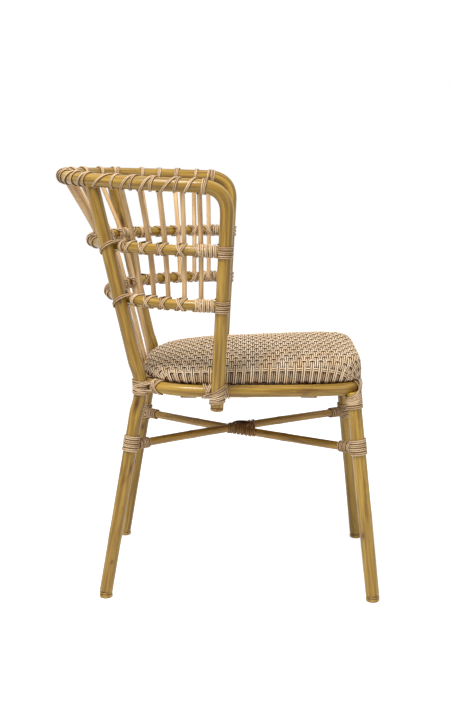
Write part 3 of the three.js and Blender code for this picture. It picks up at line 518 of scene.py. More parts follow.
def stretched_noise(word: str, last: str, output: str, noise: dict[str, float],
                    ) -> tuple[Graph, bpy.types.NodeSocket, bpy.types.NodeSocket, bpy.types.NodeSocket]:
    """Starts a shared group with a noise drawn out along the grain.

    Args:
        word: The group's name.
        last: The name of its last input.
        output: The name of its output.
        noise: The noise's own values.

    Returns:
        The group's graph, the noise, the last input and the group's output.
    """
    kinds = {"Grain": "NodeSocketVector", "Fineness": "NodeSocketFloat", "Stretch": "NodeSocketFloat",
             last: "NodeSocketFloat"}
    graph, given, out = new_group(word, kinds, {output: "NodeSocketFloat"})
    fine = given.outputs["Fineness"]
    coarse = graph.math("DIVIDE", fine, given.outputs["Stretch"])
    scale = graph.node("CombineXYZ", {0: fine, 1: fine, 2: coarse})
    place = graph.node("VectorMath", {0: given.outputs["Grain"], 1: scale.outputs[0]}, operation="MULTIPLY")
    made = graph.node("TexNoise", {"Vector": place.outputs[0], "Scale": 1.0, **noise})
    return graph, made.outputs["Fac"], given.outputs[last], out.inputs[output]


def grain_group() -> bpy.types.NodeTree:
    """Long fibres that follow a piece's grain: a value from 0 to 1 over the surface.

    Returns:
        The group's tree.
    """
    graph, noise, contrast, out = stretched_noise(
        "cane_grain", "Contrast", "Value", {"Detail": 4.0, "Roughness": 0.6})
    level = graph.math("MULTIPLY", graph.math("SUBTRACT", noise, 0.5), contrast)
    graph.tree.links.new(graph.math("ADD", level, 0.5, clamp=True), out)
    return graph.tree


def mottle_group() -> bpy.types.NodeTree:
    """Soft patches, longer along the grain: a mask over the surface.

    Returns:
        The group's tree.
    """
    graph, noise, amount, out = stretched_noise(
        "cane_mottle", "Amount", "Mask", {"Detail": 3.0, "Roughness": 0.7, "Distortion": 0.6})
    low = graph.math("SUBTRACT", MOTTLE_TOP, amount)
    over = graph.math("DIVIDE", graph.math("SUBTRACT", noise, low), MOTTLE_FADE, clamp=True)
    graph.tree.links.new(over, out)
    return graph.tree


GROUP_MAKERS = {"cane_grain": grain_group, "cane_mottle": mottle_group}


def shared_group(name: str) -> bpy.types.NodeTree:
    """The node group of that name, made on its first use."""
    return bpy.data.node_groups.get(name) or GROUP_MAKERS[name]()


@dataclass(frozen=True)
class Finish:
    """One finish: three colours mixed by grain and mottling, with a gloss."""

    name: str
    light: Colour
    dark: Colour
    # stain: the colour that real stains, the mottling and the painted shade (cord flanks, weave dips and
    # walls, the seat's foot) all mix toward.
    stain: Colour
    fineness: float
    stretch: float
    contrast: float
    mottle_fineness: float
    mottle_stretch: float
    mottle_amount: float
    roughness: float
    roughness_swing: float = 0.12
    coat: float = 0.0
    specular: float = 0.3
    bump: float = 0.1
    bump_distance: float = 0.0004
    tone_swing: float = 0.5
    tone_shift: float = 7.0
    mottle_strength: float = 0.6
    coat_roughness: float = 0.12
    runs_along_x: bool = False

    def material(self) -> bpy.types.Material:
        """The finish as a material, made on its first use.

        Returns:
            The material.
        """
        found = bpy.data.materials.get(f"{self.name}_finish")
        if found:
            return found
        made = bpy.data.materials.new(f"{self.name}_finish")
        made.use_nodes = True
        self.fill(Graph(made.node_tree))
        return made

    def sources(self, graph: Graph) -> tuple[object, object, object]:
        """Reads the grain, the tone and the marks that the mesh carries.

        Args:
            graph: The material's graph.

        Returns:
            Sockets or plain values for the grain's place, the tone and the marks.
        """
        if self.runs_along_x:
            place = graph.node("TexCoord").outputs["Object"]
            turned = graph.node("Mapping", {"Vector": place, "Rotation": (0.0, math.pi / 2, 0.0)})
            return turned.outputs[0], 0.5, 0.0
        grain = graph.node("Attribute", attribute_name="grain").outputs["Vector"]
        tone = graph.node("Attribute", attribute_name="tone").outputs["Fac"]
        marks = graph.node("Attribute", attribute_name="mark").outputs["Fac"]
        shift = graph.node("CombineXYZ", {2: graph.math("MULTIPLY", tone, self.tone_shift)})
        place = graph.node("VectorMath", {0: grain, 1: shift.outputs[0]}, operation="ADD").outputs[0]
        return place, tone, marks

    def fill(self, graph: Graph) -> None:
        """Builds the material's nodes in its graph.

        Args:
            graph: The material's graph.
        """
        place, tone, marks = self.sources(graph)
        grain = self.grouped(graph, "cane_grain", {
            "Grain": place, "Fineness": self.fineness, "Stretch": self.stretch, "Contrast": self.contrast,
        })
        mottle = self.grouped(graph, "cane_mottle", {
            "Grain": place, "Fineness": self.mottle_fineness, "Stretch": self.mottle_stretch,
            "Amount": self.mottle_amount,
        })
        swung = graph.math("ADD", grain, graph.math(
            "MULTIPLY", graph.math("SUBTRACT", tone, 0.5), self.tone_swing), clamp=True)
        body = graph.mix(swung, (*self.dark, 1.0), (*self.light, 1.0))
        patches = graph.math("MULTIPLY", mottle, self.mottle_strength)
        # The marks hold real stains and painted shade alike; both mix the body toward the stain colour.
        stain_and_shade_share = graph.math("MAXIMUM", patches, marks, clamp=True)
        colour = graph.mix(stain_and_shade_share, body, (*self.stain, 1.0))
        roughness = graph.math("ADD", graph.math("MULTIPLY", mottle, self.roughness_swing), self.roughness)
        bump = graph.node("Bump", {"Strength": self.bump, "Distance": self.bump_distance, "Height": grain})
        shader = graph.node("BsdfPrincipled", {
            "Base Color": colour, "Roughness": roughness, "Normal": bump.outputs[0],
            "Coat Weight": self.coat, "Coat Roughness": self.coat_roughness, "IOR": 1.5,
            "Specular IOR Level": self.specular,
        })
        graph.node("OutputMaterial", {"Surface": shader.outputs[0]}, is_active_output=True)

    @staticmethod
    def grouped(graph: Graph, name: str, inputs: dict[str, object]) -> bpy.types.NodeSocket:
        """The first output of a shared group placed in a graph.

        Args:
            graph: The material's graph.
            name: The group's name.
            inputs: Values or sockets for its inputs.

        Returns:
            The group's first output.
        """
        made = graph.tree.nodes.new("ShaderNodeGroup")
        made.node_tree = shared_group(name)
        for key, value in inputs.items():
            link_or_set(graph.tree, made.inputs[key], value)
        return made.outputs[0]


POLE_CANE = Finish(
    "pole_cane", light=(0.455, 0.277, 0.047), dark=(0.220, 0.116, 0.014), stain=(0.085, 0.028, 0.005),
    fineness=180.0, stretch=24.0, contrast=3.9, mottle_fineness=46.0, mottle_stretch=4.0, mottle_amount=0.19,
    roughness=0.30, coat=0.13, bump=0.14,
)
STRETCHER_CANE = Finish(
    "stretcher_cane", light=(0.42, 0.235, 0.040), dark=(0.19, 0.092, 0.013), stain=(0.06, 0.020, 0.004),
    fineness=240.0, stretch=20.0, contrast=3.0, mottle_fineness=50.0, mottle_stretch=4.0, mottle_amount=0.24,
    roughness=0.32, coat=0.1, bump=0.12,
)
SPINDLE_CANE = Finish(
    "spindle_cane", light=(0.76, 0.515, 0.255), dark=(0.42, 0.240, 0.095), stain=(0.16, 0.065, 0.018),
    fineness=330.0, stretch=30.0, contrast=3.6, mottle_fineness=55.0, mottle_stretch=6.0, mottle_amount=0.20,
    roughness=0.38, coat=0.1, bump=0.14,
)
BINDING_CORD = Finish(
    "binding_cord", light=(0.79, 0.585, 0.365), dark=(0.33, 0.195, 0.085), stain=(0.075, 0.028, 0.007),
    fineness=700.0, stretch=34.0, contrast=3.0, mottle_fineness=70.0, mottle_stretch=6.0, mottle_amount=0.18,
    roughness=0.5, bump=0.25, tone_swing=0.5,
)
DARK_CORD = Finish(
    "dark_cord", light=(0.38, 0.215, 0.090), dark=(0.065, 0.024, 0.007), stain=(0.025, 0.008, 0.003),
    fineness=600.0, stretch=20.0, contrast=3.0, mottle_fineness=70.0, mottle_stretch=4.0, mottle_amount=0.28,
    roughness=0.62, specular=0.12, bump=0.25, tone_swing=1.0,
)
WEAVE_STRAND = Finish(
    "weave_strand", light=(0.90, 0.715, 0.495), dark=(0.62, 0.430, 0.245), stain=(0.105, 0.034, 0.007),
    fineness=620.0, stretch=30.0, contrast=3.0, mottle_fineness=55.0, mottle_stretch=7.0, mottle_amount=0.2,
    roughness=0.5, bump=0.25, tone_swing=0.55,
)
# Near-black body under the strands: painted shade that shows through the gaps between them.
SHADE_UNDER_WEAVE = Finish(
    "weave_ground", light=(0.055, 0.028, 0.012), dark=(0.022, 0.010, 0.005), stain=(0.012, 0.006, 0.003),
    fineness=500.0, stretch=4.0, contrast=1.6, mottle_fineness=60.0, mottle_stretch=2.0, mottle_amount=0.2,
    roughness=0.8, bump=0.3,
)
SEAT_BOARD = Finish(
    "seat_board", light=(0.36, 0.23, 0.12), dark=(0.20, 0.115, 0.055), stain=(0.09, 0.045, 0.02),
    fineness=160.0, stretch=20.0, contrast=1.6, mottle_fineness=20.0, mottle_stretch=4.0, mottle_amount=0.12,
    roughness=0.62, bump=0.25, runs_along_x=True,
)


# Centre lines


@dataclass
class Skeleton:
    """The chair's sizes and the centre lines of its poles, as the frame's solids have them."""

    shift = 0.0

    hoop_dia: float = 0.025
    rear_pole_dia: float = 0.0255
    front_leg_dia: float = 0.0265
    ring_dia: float = 0.023
    mid_rail_dia: float = 0.0195
    stretcher_dia: float = 0.016
    spindle_dia: float = 0.0092
    contact_gap: float = 0.00035

    ring_height: float = 0.408
    ring_half_width: float = 0.223
    ring_front_reach: float = 0.267
    ring_rear_reach: float = 0.158
    ring_front_power: float = 7.0
    ring_rear_power: float = 2.7
    ring_taper: float = 0.12

    post_foot_height: float = 0.376
    hoop_half_width: float = 0.267
    hoop_front_y: float = -0.017
    hoop_rear_y: float = 0.310
    hoop_front_height: float = 0.787
    hoop_rear_height: float = 0.797
    hoop_power: float = 2.17
    hoop_bend: float = 0.052

    upper_rail_height: float = 0.672
    upper_rail_rear_y: float = 0.256
    upper_rail_power: float = 1.915
    lower_rail_height: float = 0.572
    lower_rail_rear_y: float = 0.221
    lower_rail_power: float = 2.005

    rear_foot: tuple[float, float] = (0.205, 0.2125)
    rear_pole_ring_x: float = 0.166
    rear_pole_top_x: float = 0.178
    rear_pole_bend: float = 0.045
    front_foot: tuple[float, float] = (0.208, -0.2985)
    front_leg_top_x: float = 0.175
    front_leg_outset: float = 0.009
    over_heights: tuple[float, float] = (0.295, 0.289)
    under_heights: tuple[float, float] = (0.282, 0.294)
    stretcher_bend: float = 0.017
    cap_height: float = 0.011
    plug_height: float = 0.007

    side_top_shares: tuple[float, ...] = (0.206, 0.328, 0.494, 0.64, 0.779)
    side_foot_shares: tuple[float, ...] = (0.218, 0.39, 0.555, 0.706, 0.845)
    side_tail: float = 0.007
    rear_count: int = 7
    rear_pitch: float = 0.050
    rear_upper_share: float = 0.82
    rear_lower_share: float = 0.78
    rear_foot_share: float = 0.72

    step: float = 0.003
    arc_steps: int = 240
    ring_steps: int = 720
    hoop_bend_steps: int = 24
    pole_bend_steps: int = 16
    stretcher_steps: int = 40
    spindle_steps: int = 24
    let_in: float = 0.25

    def __post_init__(self) -> None:
        """Draws every centre line once."""
        low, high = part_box("foot_cap_rear_right")
        Skeleton.shift = (low.y + high.y) / 2 - self.rear_foot[1]
        self.ring_plan = PlanCurve(
            self.ring_half_width, 0.0, self.ring_rear_reach, self.ring_rear_power,
            self.ring_front_reach, self.ring_front_power, self.ring_taper,
        )
        self.hoop_plan = PlanCurve(
            self.hoop_half_width, self.hoop_front_y, self.hoop_rear_y - self.hoop_front_y, self.hoop_power
        )
        self.post_ring_x = self.ring_half_width + (self.ring_dia + self.hoop_dia) / 2 + self.contact_gap
        self.rail_plans = {
            "upper": self.rail_plan(self.upper_rail_height, self.upper_rail_rear_y, self.upper_rail_power),
            "lower": self.rail_plan(self.lower_rail_height, self.lower_rail_rear_y, self.lower_rail_power),
        }
        self.lines = {"hoop": self.hoop_line(), "ring": self.ring_line()}
        for side in Side:
            self.lines[f"rear_{side.word}"] = self.rear_pole_line(side)
            self.lines[f"front_{side.word}"] = self.front_leg_line(side)
        for word, height in self.rail_heights.items():
            arc = self.rail_plans[word].at(np.linspace(0.0, math.pi, self.arc_steps)) + height * UP
            self.lines[word] = resampled(arc, self.step)
        self.lines["over"] = self.stretcher_line(Side.RIGHT, Side.LEFT, self.over_heights)
        self.lines["under"] = self.stretcher_line(Side.LEFT, Side.RIGHT, self.under_heights)
        self.spindles = {side.word: self.side_spindles(side) for side in Side}
        self.spindles["rear"] = self.rear_spindles()

    def radius(self, word: str) -> float:
        """The radius of the pole with that line.

        Args:
            word: The line's name.

        Returns:
            The radius.
        """
        known = {"hoop": self.hoop_dia, "ring": self.ring_dia, "upper": self.mid_rail_dia,
                 "lower": self.mid_rail_dia, "over": self.stretcher_dia, "under": self.stretcher_dia}
        if word in known:
            return known[word] / 2
        return (self.rear_pole_dia if word.startswith("rear") else self.front_leg_dia) / 2

    @property
    def rail_heights(self) -> dict[str, float]:
        """The heights of both middle rails, by the names of their lines."""
        return {"upper": self.upper_rail_height, "lower": self.lower_rail_height}

    def rail_plan(self, height: float, rear_y: float, power: float) -> PlanCurve:
        """The outline of a middle rail between the posts.

        Args:
            height: The rail's height.
            rear_y: How far back it reaches.
            power: How square its corners are.

        Returns:
            The outline.
        """
        end = self.on_post(Side.LEFT, height)
        return PlanCurve(float(end[0]), float(end[1]), rear_y - float(end[1]), power)

    def on_hoop(self, angles: np.ndarray) -> np.ndarray:
        """Places on the top rail, which rises evenly to the rear.

        Args:
            angles: Angles of its outline.

        Returns:
            The place at each angle.
        """
        place = self.hoop_plan.at(angles)
        share = (place[..., 1] - self.hoop_front_y) / (self.hoop_rear_y - self.hoop_front_y)
        rise = self.hoop_front_height + (self.hoop_rear_height - self.hoop_front_height) * share
        return place + rise[..., None] * UP

    def on_post(self, side: Side, height: float) -> np.ndarray:
        """The place on a front post's centre line at a height.

        Args:
            side: The post's side.
            height: The height.

        Returns:
            The place.
        """
        share = (height - self.ring_height) / (self.hoop_front_height - self.ring_height)
        x = self.post_ring_x + (self.hoop_half_width - self.post_ring_x) * share
        return np.array([side.value * x, self.hoop_front_y * share, height])

    def hoop_line(self) -> np.ndarray:
        """Post, bend, top rail, bend and post of the one bent pole.

        Returns:
            Its centre line, from the right foot.
        """
        corner = self.on_post(Side.RIGHT, self.hoop_front_height)
        down = unit(self.on_post(Side.RIGHT, self.ring_height) - corner)
        rail = self.on_hoop(np.linspace(math.pi, math.pi / 2, self.arc_steps))
        kept = rail[np.linalg.norm(rail - corner, axis=1) > self.hoop_bend]
        bend = quadratic(corner + down * self.hoop_bend, corner, kept[0], self.hoop_bend_steps)
        foot = self.on_post(Side.RIGHT, self.post_foot_height + self.plug_height)
        half = np.concatenate([[foot], bend, kept[1:]])
        return resampled(np.concatenate([half, mirrored(half[:-1][::-1])]), self.step)

    def ring_line(self) -> np.ndarray:
        """The closed seat ring, with its ends on each other at the middle of the rear."""
        angles = np.linspace(0.0, 2 * math.pi, self.ring_steps + 1) + math.pi / 2
        return resampled(self.ring_plan.at(angles) + self.ring_height * UP, self.step)

    def rear_kink(self, side: Side) -> np.ndarray:
        """Where a rear pole bends beside the ring.

        Args:
            side: The pole's side.

        Returns:
            The place on its centre line.
        """
        angle = side.angle(self.ring_plan.angle_at(0, self.rear_pole_ring_x))
        reach = (self.ring_dia + self.rear_pole_dia) / 2 + self.contact_gap
        return self.ring_plan.at(np.array(angle), -reach) + self.ring_height * UP

    def rear_pole_line(self, side: Side) -> np.ndarray:
        """Leg and back post of one rear pole.

        Args:
            side: The pole's side.

        Returns:
            Its centre line, from the foot.
        """
        foot = np.array([side.value * self.rear_foot[0], self.rear_foot[1], self.cap_height])
        kink = self.rear_kink(side)
        top = self.on_hoop(np.array(side.angle(self.hoop_plan.angle_at(0, self.rear_pole_top_x))))
        below = kink + unit(foot - kink) * self.rear_pole_bend
        above = kink + unit(top - kink) * self.rear_pole_bend
        apex = (4 * kink - below - above) / 2
        bend = quadratic(below, apex, above, self.pole_bend_steps)
        top = top - unit(top - kink) * self.hoop_dia * self.let_in
        return resampled(np.array([foot, *bend, top]), self.step)

    def front_leg_line(self, side: Side) -> np.ndarray:
        """One front leg, from its cap up into the ring.

        Args:
            side: The leg's side.

        Returns:
            Its centre line, from the foot.
        """
        angle = side.angle(self.ring_plan.angle_at(0, self.front_leg_top_x, rear=False))
        top = self.ring_plan.at(np.array(angle), -self.front_leg_outset) + self.ring_height * UP
        foot = np.array([side.value * self.front_foot[0], self.front_foot[1], self.cap_height])
        return resampled(np.array([foot, top - unit(top - foot) * self.ring_dia * self.let_in]), self.step)

    def stretcher_line(self, rear: Side, front: Side, heights: tuple[float, float]) -> np.ndarray:
        """A stretcher from a rear pole to the front leg across.

        Args:
            rear: The side of its rear end.
            front: The side of its front end.
            heights: The heights of its rear and front ends.

        Returns:
            Its centre line, from the rear.
        """
        start = at_height(self.lines[f"rear_{rear.word}"], heights[0])
        end = at_height(self.lines[f"front_{front.word}"], heights[1])
        middle = (start + end) / 2 + 2 * self.stretcher_bend * BACK
        return resampled(quadratic(start, middle, end, self.stretcher_steps), self.step)

    def spindle_line(self, angles: tuple[float, float, float], foot: np.ndarray | None) -> np.ndarray:
        """A spindle that bends just inside both middle rails.

        Args:
            angles: Its angles on the top rail and on the two middle rails.
            foot: Where it ends on the ring, or None where it ends below the lower rail.

        Returns:
            Its centre line, from the top.
        """
        reach = (self.mid_rail_dia + self.spindle_dia) / 2 + self.contact_gap
        upper = self.rail_plans["upper"].at(np.array(angles[1]), reach) + self.upper_rail_height * UP
        lower = self.rail_plans["lower"].at(np.array(angles[2]), reach) + self.lower_rail_height * UP
        end = lower + unit(lower - upper) * self.side_tail if foot is None else foot
        knots = np.array([self.on_hoop(np.array(angles[0])), upper, lower, end])
        return resampled(smooth_through(knots, self.spindle_steps), 2 * self.step)

    def side_spindles(self, side: Side) -> list[np.ndarray]:
        """Spindles between a front post and a rear pole, from the front.

        Args:
            side: The side that they are on.

        Returns:
            Their centre lines, from the top.
        """
        pole = self.lines["rear_left"]

        def angle(plan: PlanCurve, end_y: float, share: float) -> float:
            """The angle at a share of the way from the post to the pole."""
            return side.angle(plan.angle_at(1, plan.centre_y + (end_y - plan.centre_y) * share))

        found = []
        upper_y, lower_y = (float(at_height(pole, height)[1]) for height in self.rail_heights.values())
        for top, foot in zip(self.side_top_shares, self.side_foot_shares):
            angles = (
                angle(self.hoop_plan, float(pole[-1, 1]), top),
                angle(self.rail_plans["upper"], upper_y, (top + foot) / 2),
                angle(self.rail_plans["lower"], lower_y, foot),
            )
            found.append(self.spindle_line(angles, None))
        return found

    def rear_spindles(self) -> list[np.ndarray]:
        """Spindles between the rear poles, which run down to the ring behind the pad.

        Returns:
            Their centre lines, from the right.
        """
        plans = (self.hoop_plan, *self.rail_plans.values(), self.ring_plan)
        shares = (1.0, self.rear_upper_share, self.rear_lower_share, self.rear_foot_share)
        found = []
        for i in range(self.rear_count):
            place = (i - (self.rear_count - 1) / 2) * self.rear_pitch
            side = Side.LEFT if place >= 0 else Side.RIGHT
            *angles, last = (side.angle(plan.angle_at(0, abs(place) * share))
                             for plan, share in zip(plans, shares))
            foot = self.ring_plan.at(np.array(last)) + self.ring_height * UP
            found.append(self.spindle_line(tuple(angles), foot))
        return found


# Sub-assemblies


POLE_STAINS = {
    "rear_right": [
        Stain(0.572, (-1.0, -0.1, 0.0), 0.009, 0.004), Stain(0.062, (-1.0, -0.2, 0.0), 0.006, 0.0025),
        Stain(0.246, (-1.0, -0.9, 0.0), 0.012, 0.0028), Stain(0.372, (-1.0, 0.2, 0.0), 0.022, 0.006),
        Stain(0.30, (1.0, 0.3, 0.0), 0.010, 0.004),
    ],
    "rear_left": [
        Stain(0.245, (-1.0, -0.2, 0.0), 0.010, 0.0035), Stain(0.53, (-1.0, -0.5, 0.0), 0.012, 0.003),
        Stain(0.45, (1.0, 0.0, 0.0), 0.010, 0.004), Stain(0.70, (-1.0, -0.3, 0.0), 0.020, 0.005),
    ],
    "ring": [
        Stain(0.13, (-1.0, 0.0, -0.7), 0.034, 0.004), Stain(0.02, (-1.0, 0.0, -1.1), 0.020, 0.004),
        Stain(0.62, (0.0, -1.0, -0.4), 0.026, 0.004),
    ],
    "front_right": [
        Stain(0.372, (-1.0, -0.5, 0.0), 0.010, 0.003), Stain(0.12, (-1.0, 0.8, 0.0), 0.008, 0.003),
    ],
    "front_left": [
        Stain(0.33, (-1.0, 0.6, 0.0), 0.030, 0.004), Stain(0.16, (0.2, -1.0, 0.0), 0.008, 0.003),
    ],
}


@dataclass
class Poles:
    """Poles and spindles as smooth canes that swell a little at their knots."""

    skeleton: Skeleton
    step: float = 0.004
    sides: int = 28
    spindle_sides: int = 14
    edge: float = 0.0025
    knot_swell: float = 0.0004
    knot_length: float = 0.009
    knot_pitch: float = 0.235
    knot_start: float = 0.4
    knot_shift: float = 0.1
    spindle_edge: float = 0.0012
    tones: tuple[float, ...] = (0.30, 0.38, 0.52, 0.44, 0.62, 0.70, 0.16, 0.60, 0.34, 0.84)
    spindle_tone: float = 0.21

    def cane(self, word: str, tone: float) -> Pieces:
        """One pole on its centre line.

        Args:
            word: The line's name.
            tone: Its tone.

        Returns:
            The pole's mesh.
        """
        line = resampled(self.skeleton.lines[word], self.step)
        places = lengths_along(line)
        radius = np.full(len(line), self.skeleton.radius(word))
        first = self.knot_start * self.knot_pitch + self.knot_shift * tone
        for knot in np.arange(first, places[-1], self.knot_pitch):
            radius += self.knot_swell * np.exp(-(((places - knot) / self.knot_length) ** 2))
        pieces = Pieces()
        pieces.add_tube(line, radius, sides=self.sides, edge=0.0 if word == "ring" else self.edge, tone=tone,
                        stains=POLE_STAINS.get(word))
        return pieces

    def build(self) -> None:
        """Makes every pole and spindle."""
        names = {"hoop": "top_rail_hoop", "ring": "seat_ring", "upper": "upper_mid_rail",
                 "lower": "lower_mid_rail", "over": "stretcher_over", "under": "stretcher_under"}
        for side in Side:
            names[f"rear_{side.word}"] = f"rear_pole_{side.word}"
            names[f"front_{side.word}"] = f"front_leg_{side.word}"
        for (word, node), tone in zip(names.items(), self.tones):
            finish = STRETCHER_CANE if word in ("over", "under") else POLE_CANE
            self.cane(word, tone).build(f"cane_{node}", finish, "pole_cane", [node])
        rows = {f"side_spindle_{side.word}": self.skeleton.spindles[side.word] for side in Side}
        rows["rear_spindle"] = self.skeleton.spindles["rear"]
        for stem, lines in rows.items():
            for i, line in enumerate(lines):
                tone = (self.spindle_tone + GOLDEN * (i + len(stem))) % 1.0
                pieces = Pieces()
                pieces.add_tube(line, self.skeleton.spindle_dia / 2, sides=self.spindle_sides,
                                edge=self.spindle_edge, tone=tone)
                pieces.build(f"cane_{stem}_{i + 1}", SPINDLE_CANE, "spindle_cane", [f"{stem}_{i + 1}"])


@dataclass
class EndCaps:
    """Turned caps under the legs and plugs in the posts' lower ends."""

    skeleton: Skeleton
    groove_height: float = 0.0080
    groove_depth: float = 0.0009
    groove_width: float = 0.0009
    plug_groove_depth: float = 0.0012
    edge: float = 0.0035
    edge_steps: int = 6
    wall_steps: int = 29
    sides: int = 40
    gap: float = 0.0001
    cap_tone: float = 0.5
    plug_tone: float = 0.6

    def turned(self, foot: np.ndarray, run: np.ndarray, radius: float, height: float, groove: float | None,
               tone: float) -> Pieces:
        """A disc with a rounded lower edge and, on a cap, a dark groove round it.

        Args:
            foot: The middle of its lower face.
            run: The way up its axis.
            radius: Its radius.
            height: Its height.
            groove: How high its groove lies, or None.
            tone: Its tone.

        Returns:
            The cap's mesh.
        """
        turn = np.radians(np.linspace(0.0, 90.0, self.edge_steps + 1))
        rise = self.edge * (1 - np.cos(turn))
        reach = radius - self.edge * (1 - np.sin(turn))
        upper = np.linspace(self.edge, height - self.gap, self.wall_steps + 1)[1:]
        rises = np.concatenate([rise, upper])
        reaches = np.concatenate([reach, np.full(len(upper), radius)])
        marks = np.zeros(len(rises))
        if groove is not None:
            dip = np.exp(-(((rises - groove) / self.groove_width) ** 2))
            reaches, marks = reaches - self.groove_depth * dip, dip
        out = square_to(run, ACROSS)
        aside = np.cross(run, out)
        angles = 2 * math.pi * np.arange(self.sides) / self.sides
        ring = np.cos(angles)[:, None] * out + np.sin(angles)[:, None] * aside
        points = foot + rises[:, None, None] * run + reaches[:, None, None] * ring
        grain = np.stack([
            reaches[:, None] * np.cos(angles), reaches[:, None] * np.sin(angles),
            np.broadcast_to(rises[:, None], (len(rises), self.sides)),
        ], axis=-1)
        pieces = Pieces()
        pieces.add(points.reshape(-1, 3), ring_faces(len(rises), self.sides), grain.reshape(-1, 3), tone,
                   np.repeat(marks, self.sides))
        return pieces

    def build(self) -> None:
        """Makes the four caps and the two plugs."""
        s = self.skeleton
        for side in Side:
            for word, foot, radius in (("rear", s.rear_foot, s.rear_pole_dia / 2),
                                       ("front", s.front_foot, s.front_leg_dia / 2)):
                place = np.array([side.value * foot[0], foot[1], 0.0])
                name = f"foot_cap_{word}_{side.word}"
                self.turned(place, UP, radius, s.cap_height, self.groove_height, self.cap_tone).build(
                    f"turned_{name}", POLE_CANE, "end_cap", [name])
            foot = s.on_post(side, s.post_foot_height)
            run = unit(s.on_post(side, s.hoop_front_height) - foot)
            name = f"post_plug_{side.word}"
            groove = s.plug_height - self.plug_groove_depth
            self.turned(foot, run, s.hoop_dia / 2, s.plug_height, groove, self.plug_tone).build(
                f"turned_{name}", POLE_CANE, "end_cap", [name])


@dataclass(frozen=True)
class Rod:
    """A stretch of a pole near a joint: a place on it, its direction, its radius and its whole line."""

    place: np.ndarray
    run: np.ndarray
    radius: float
    line: np.ndarray


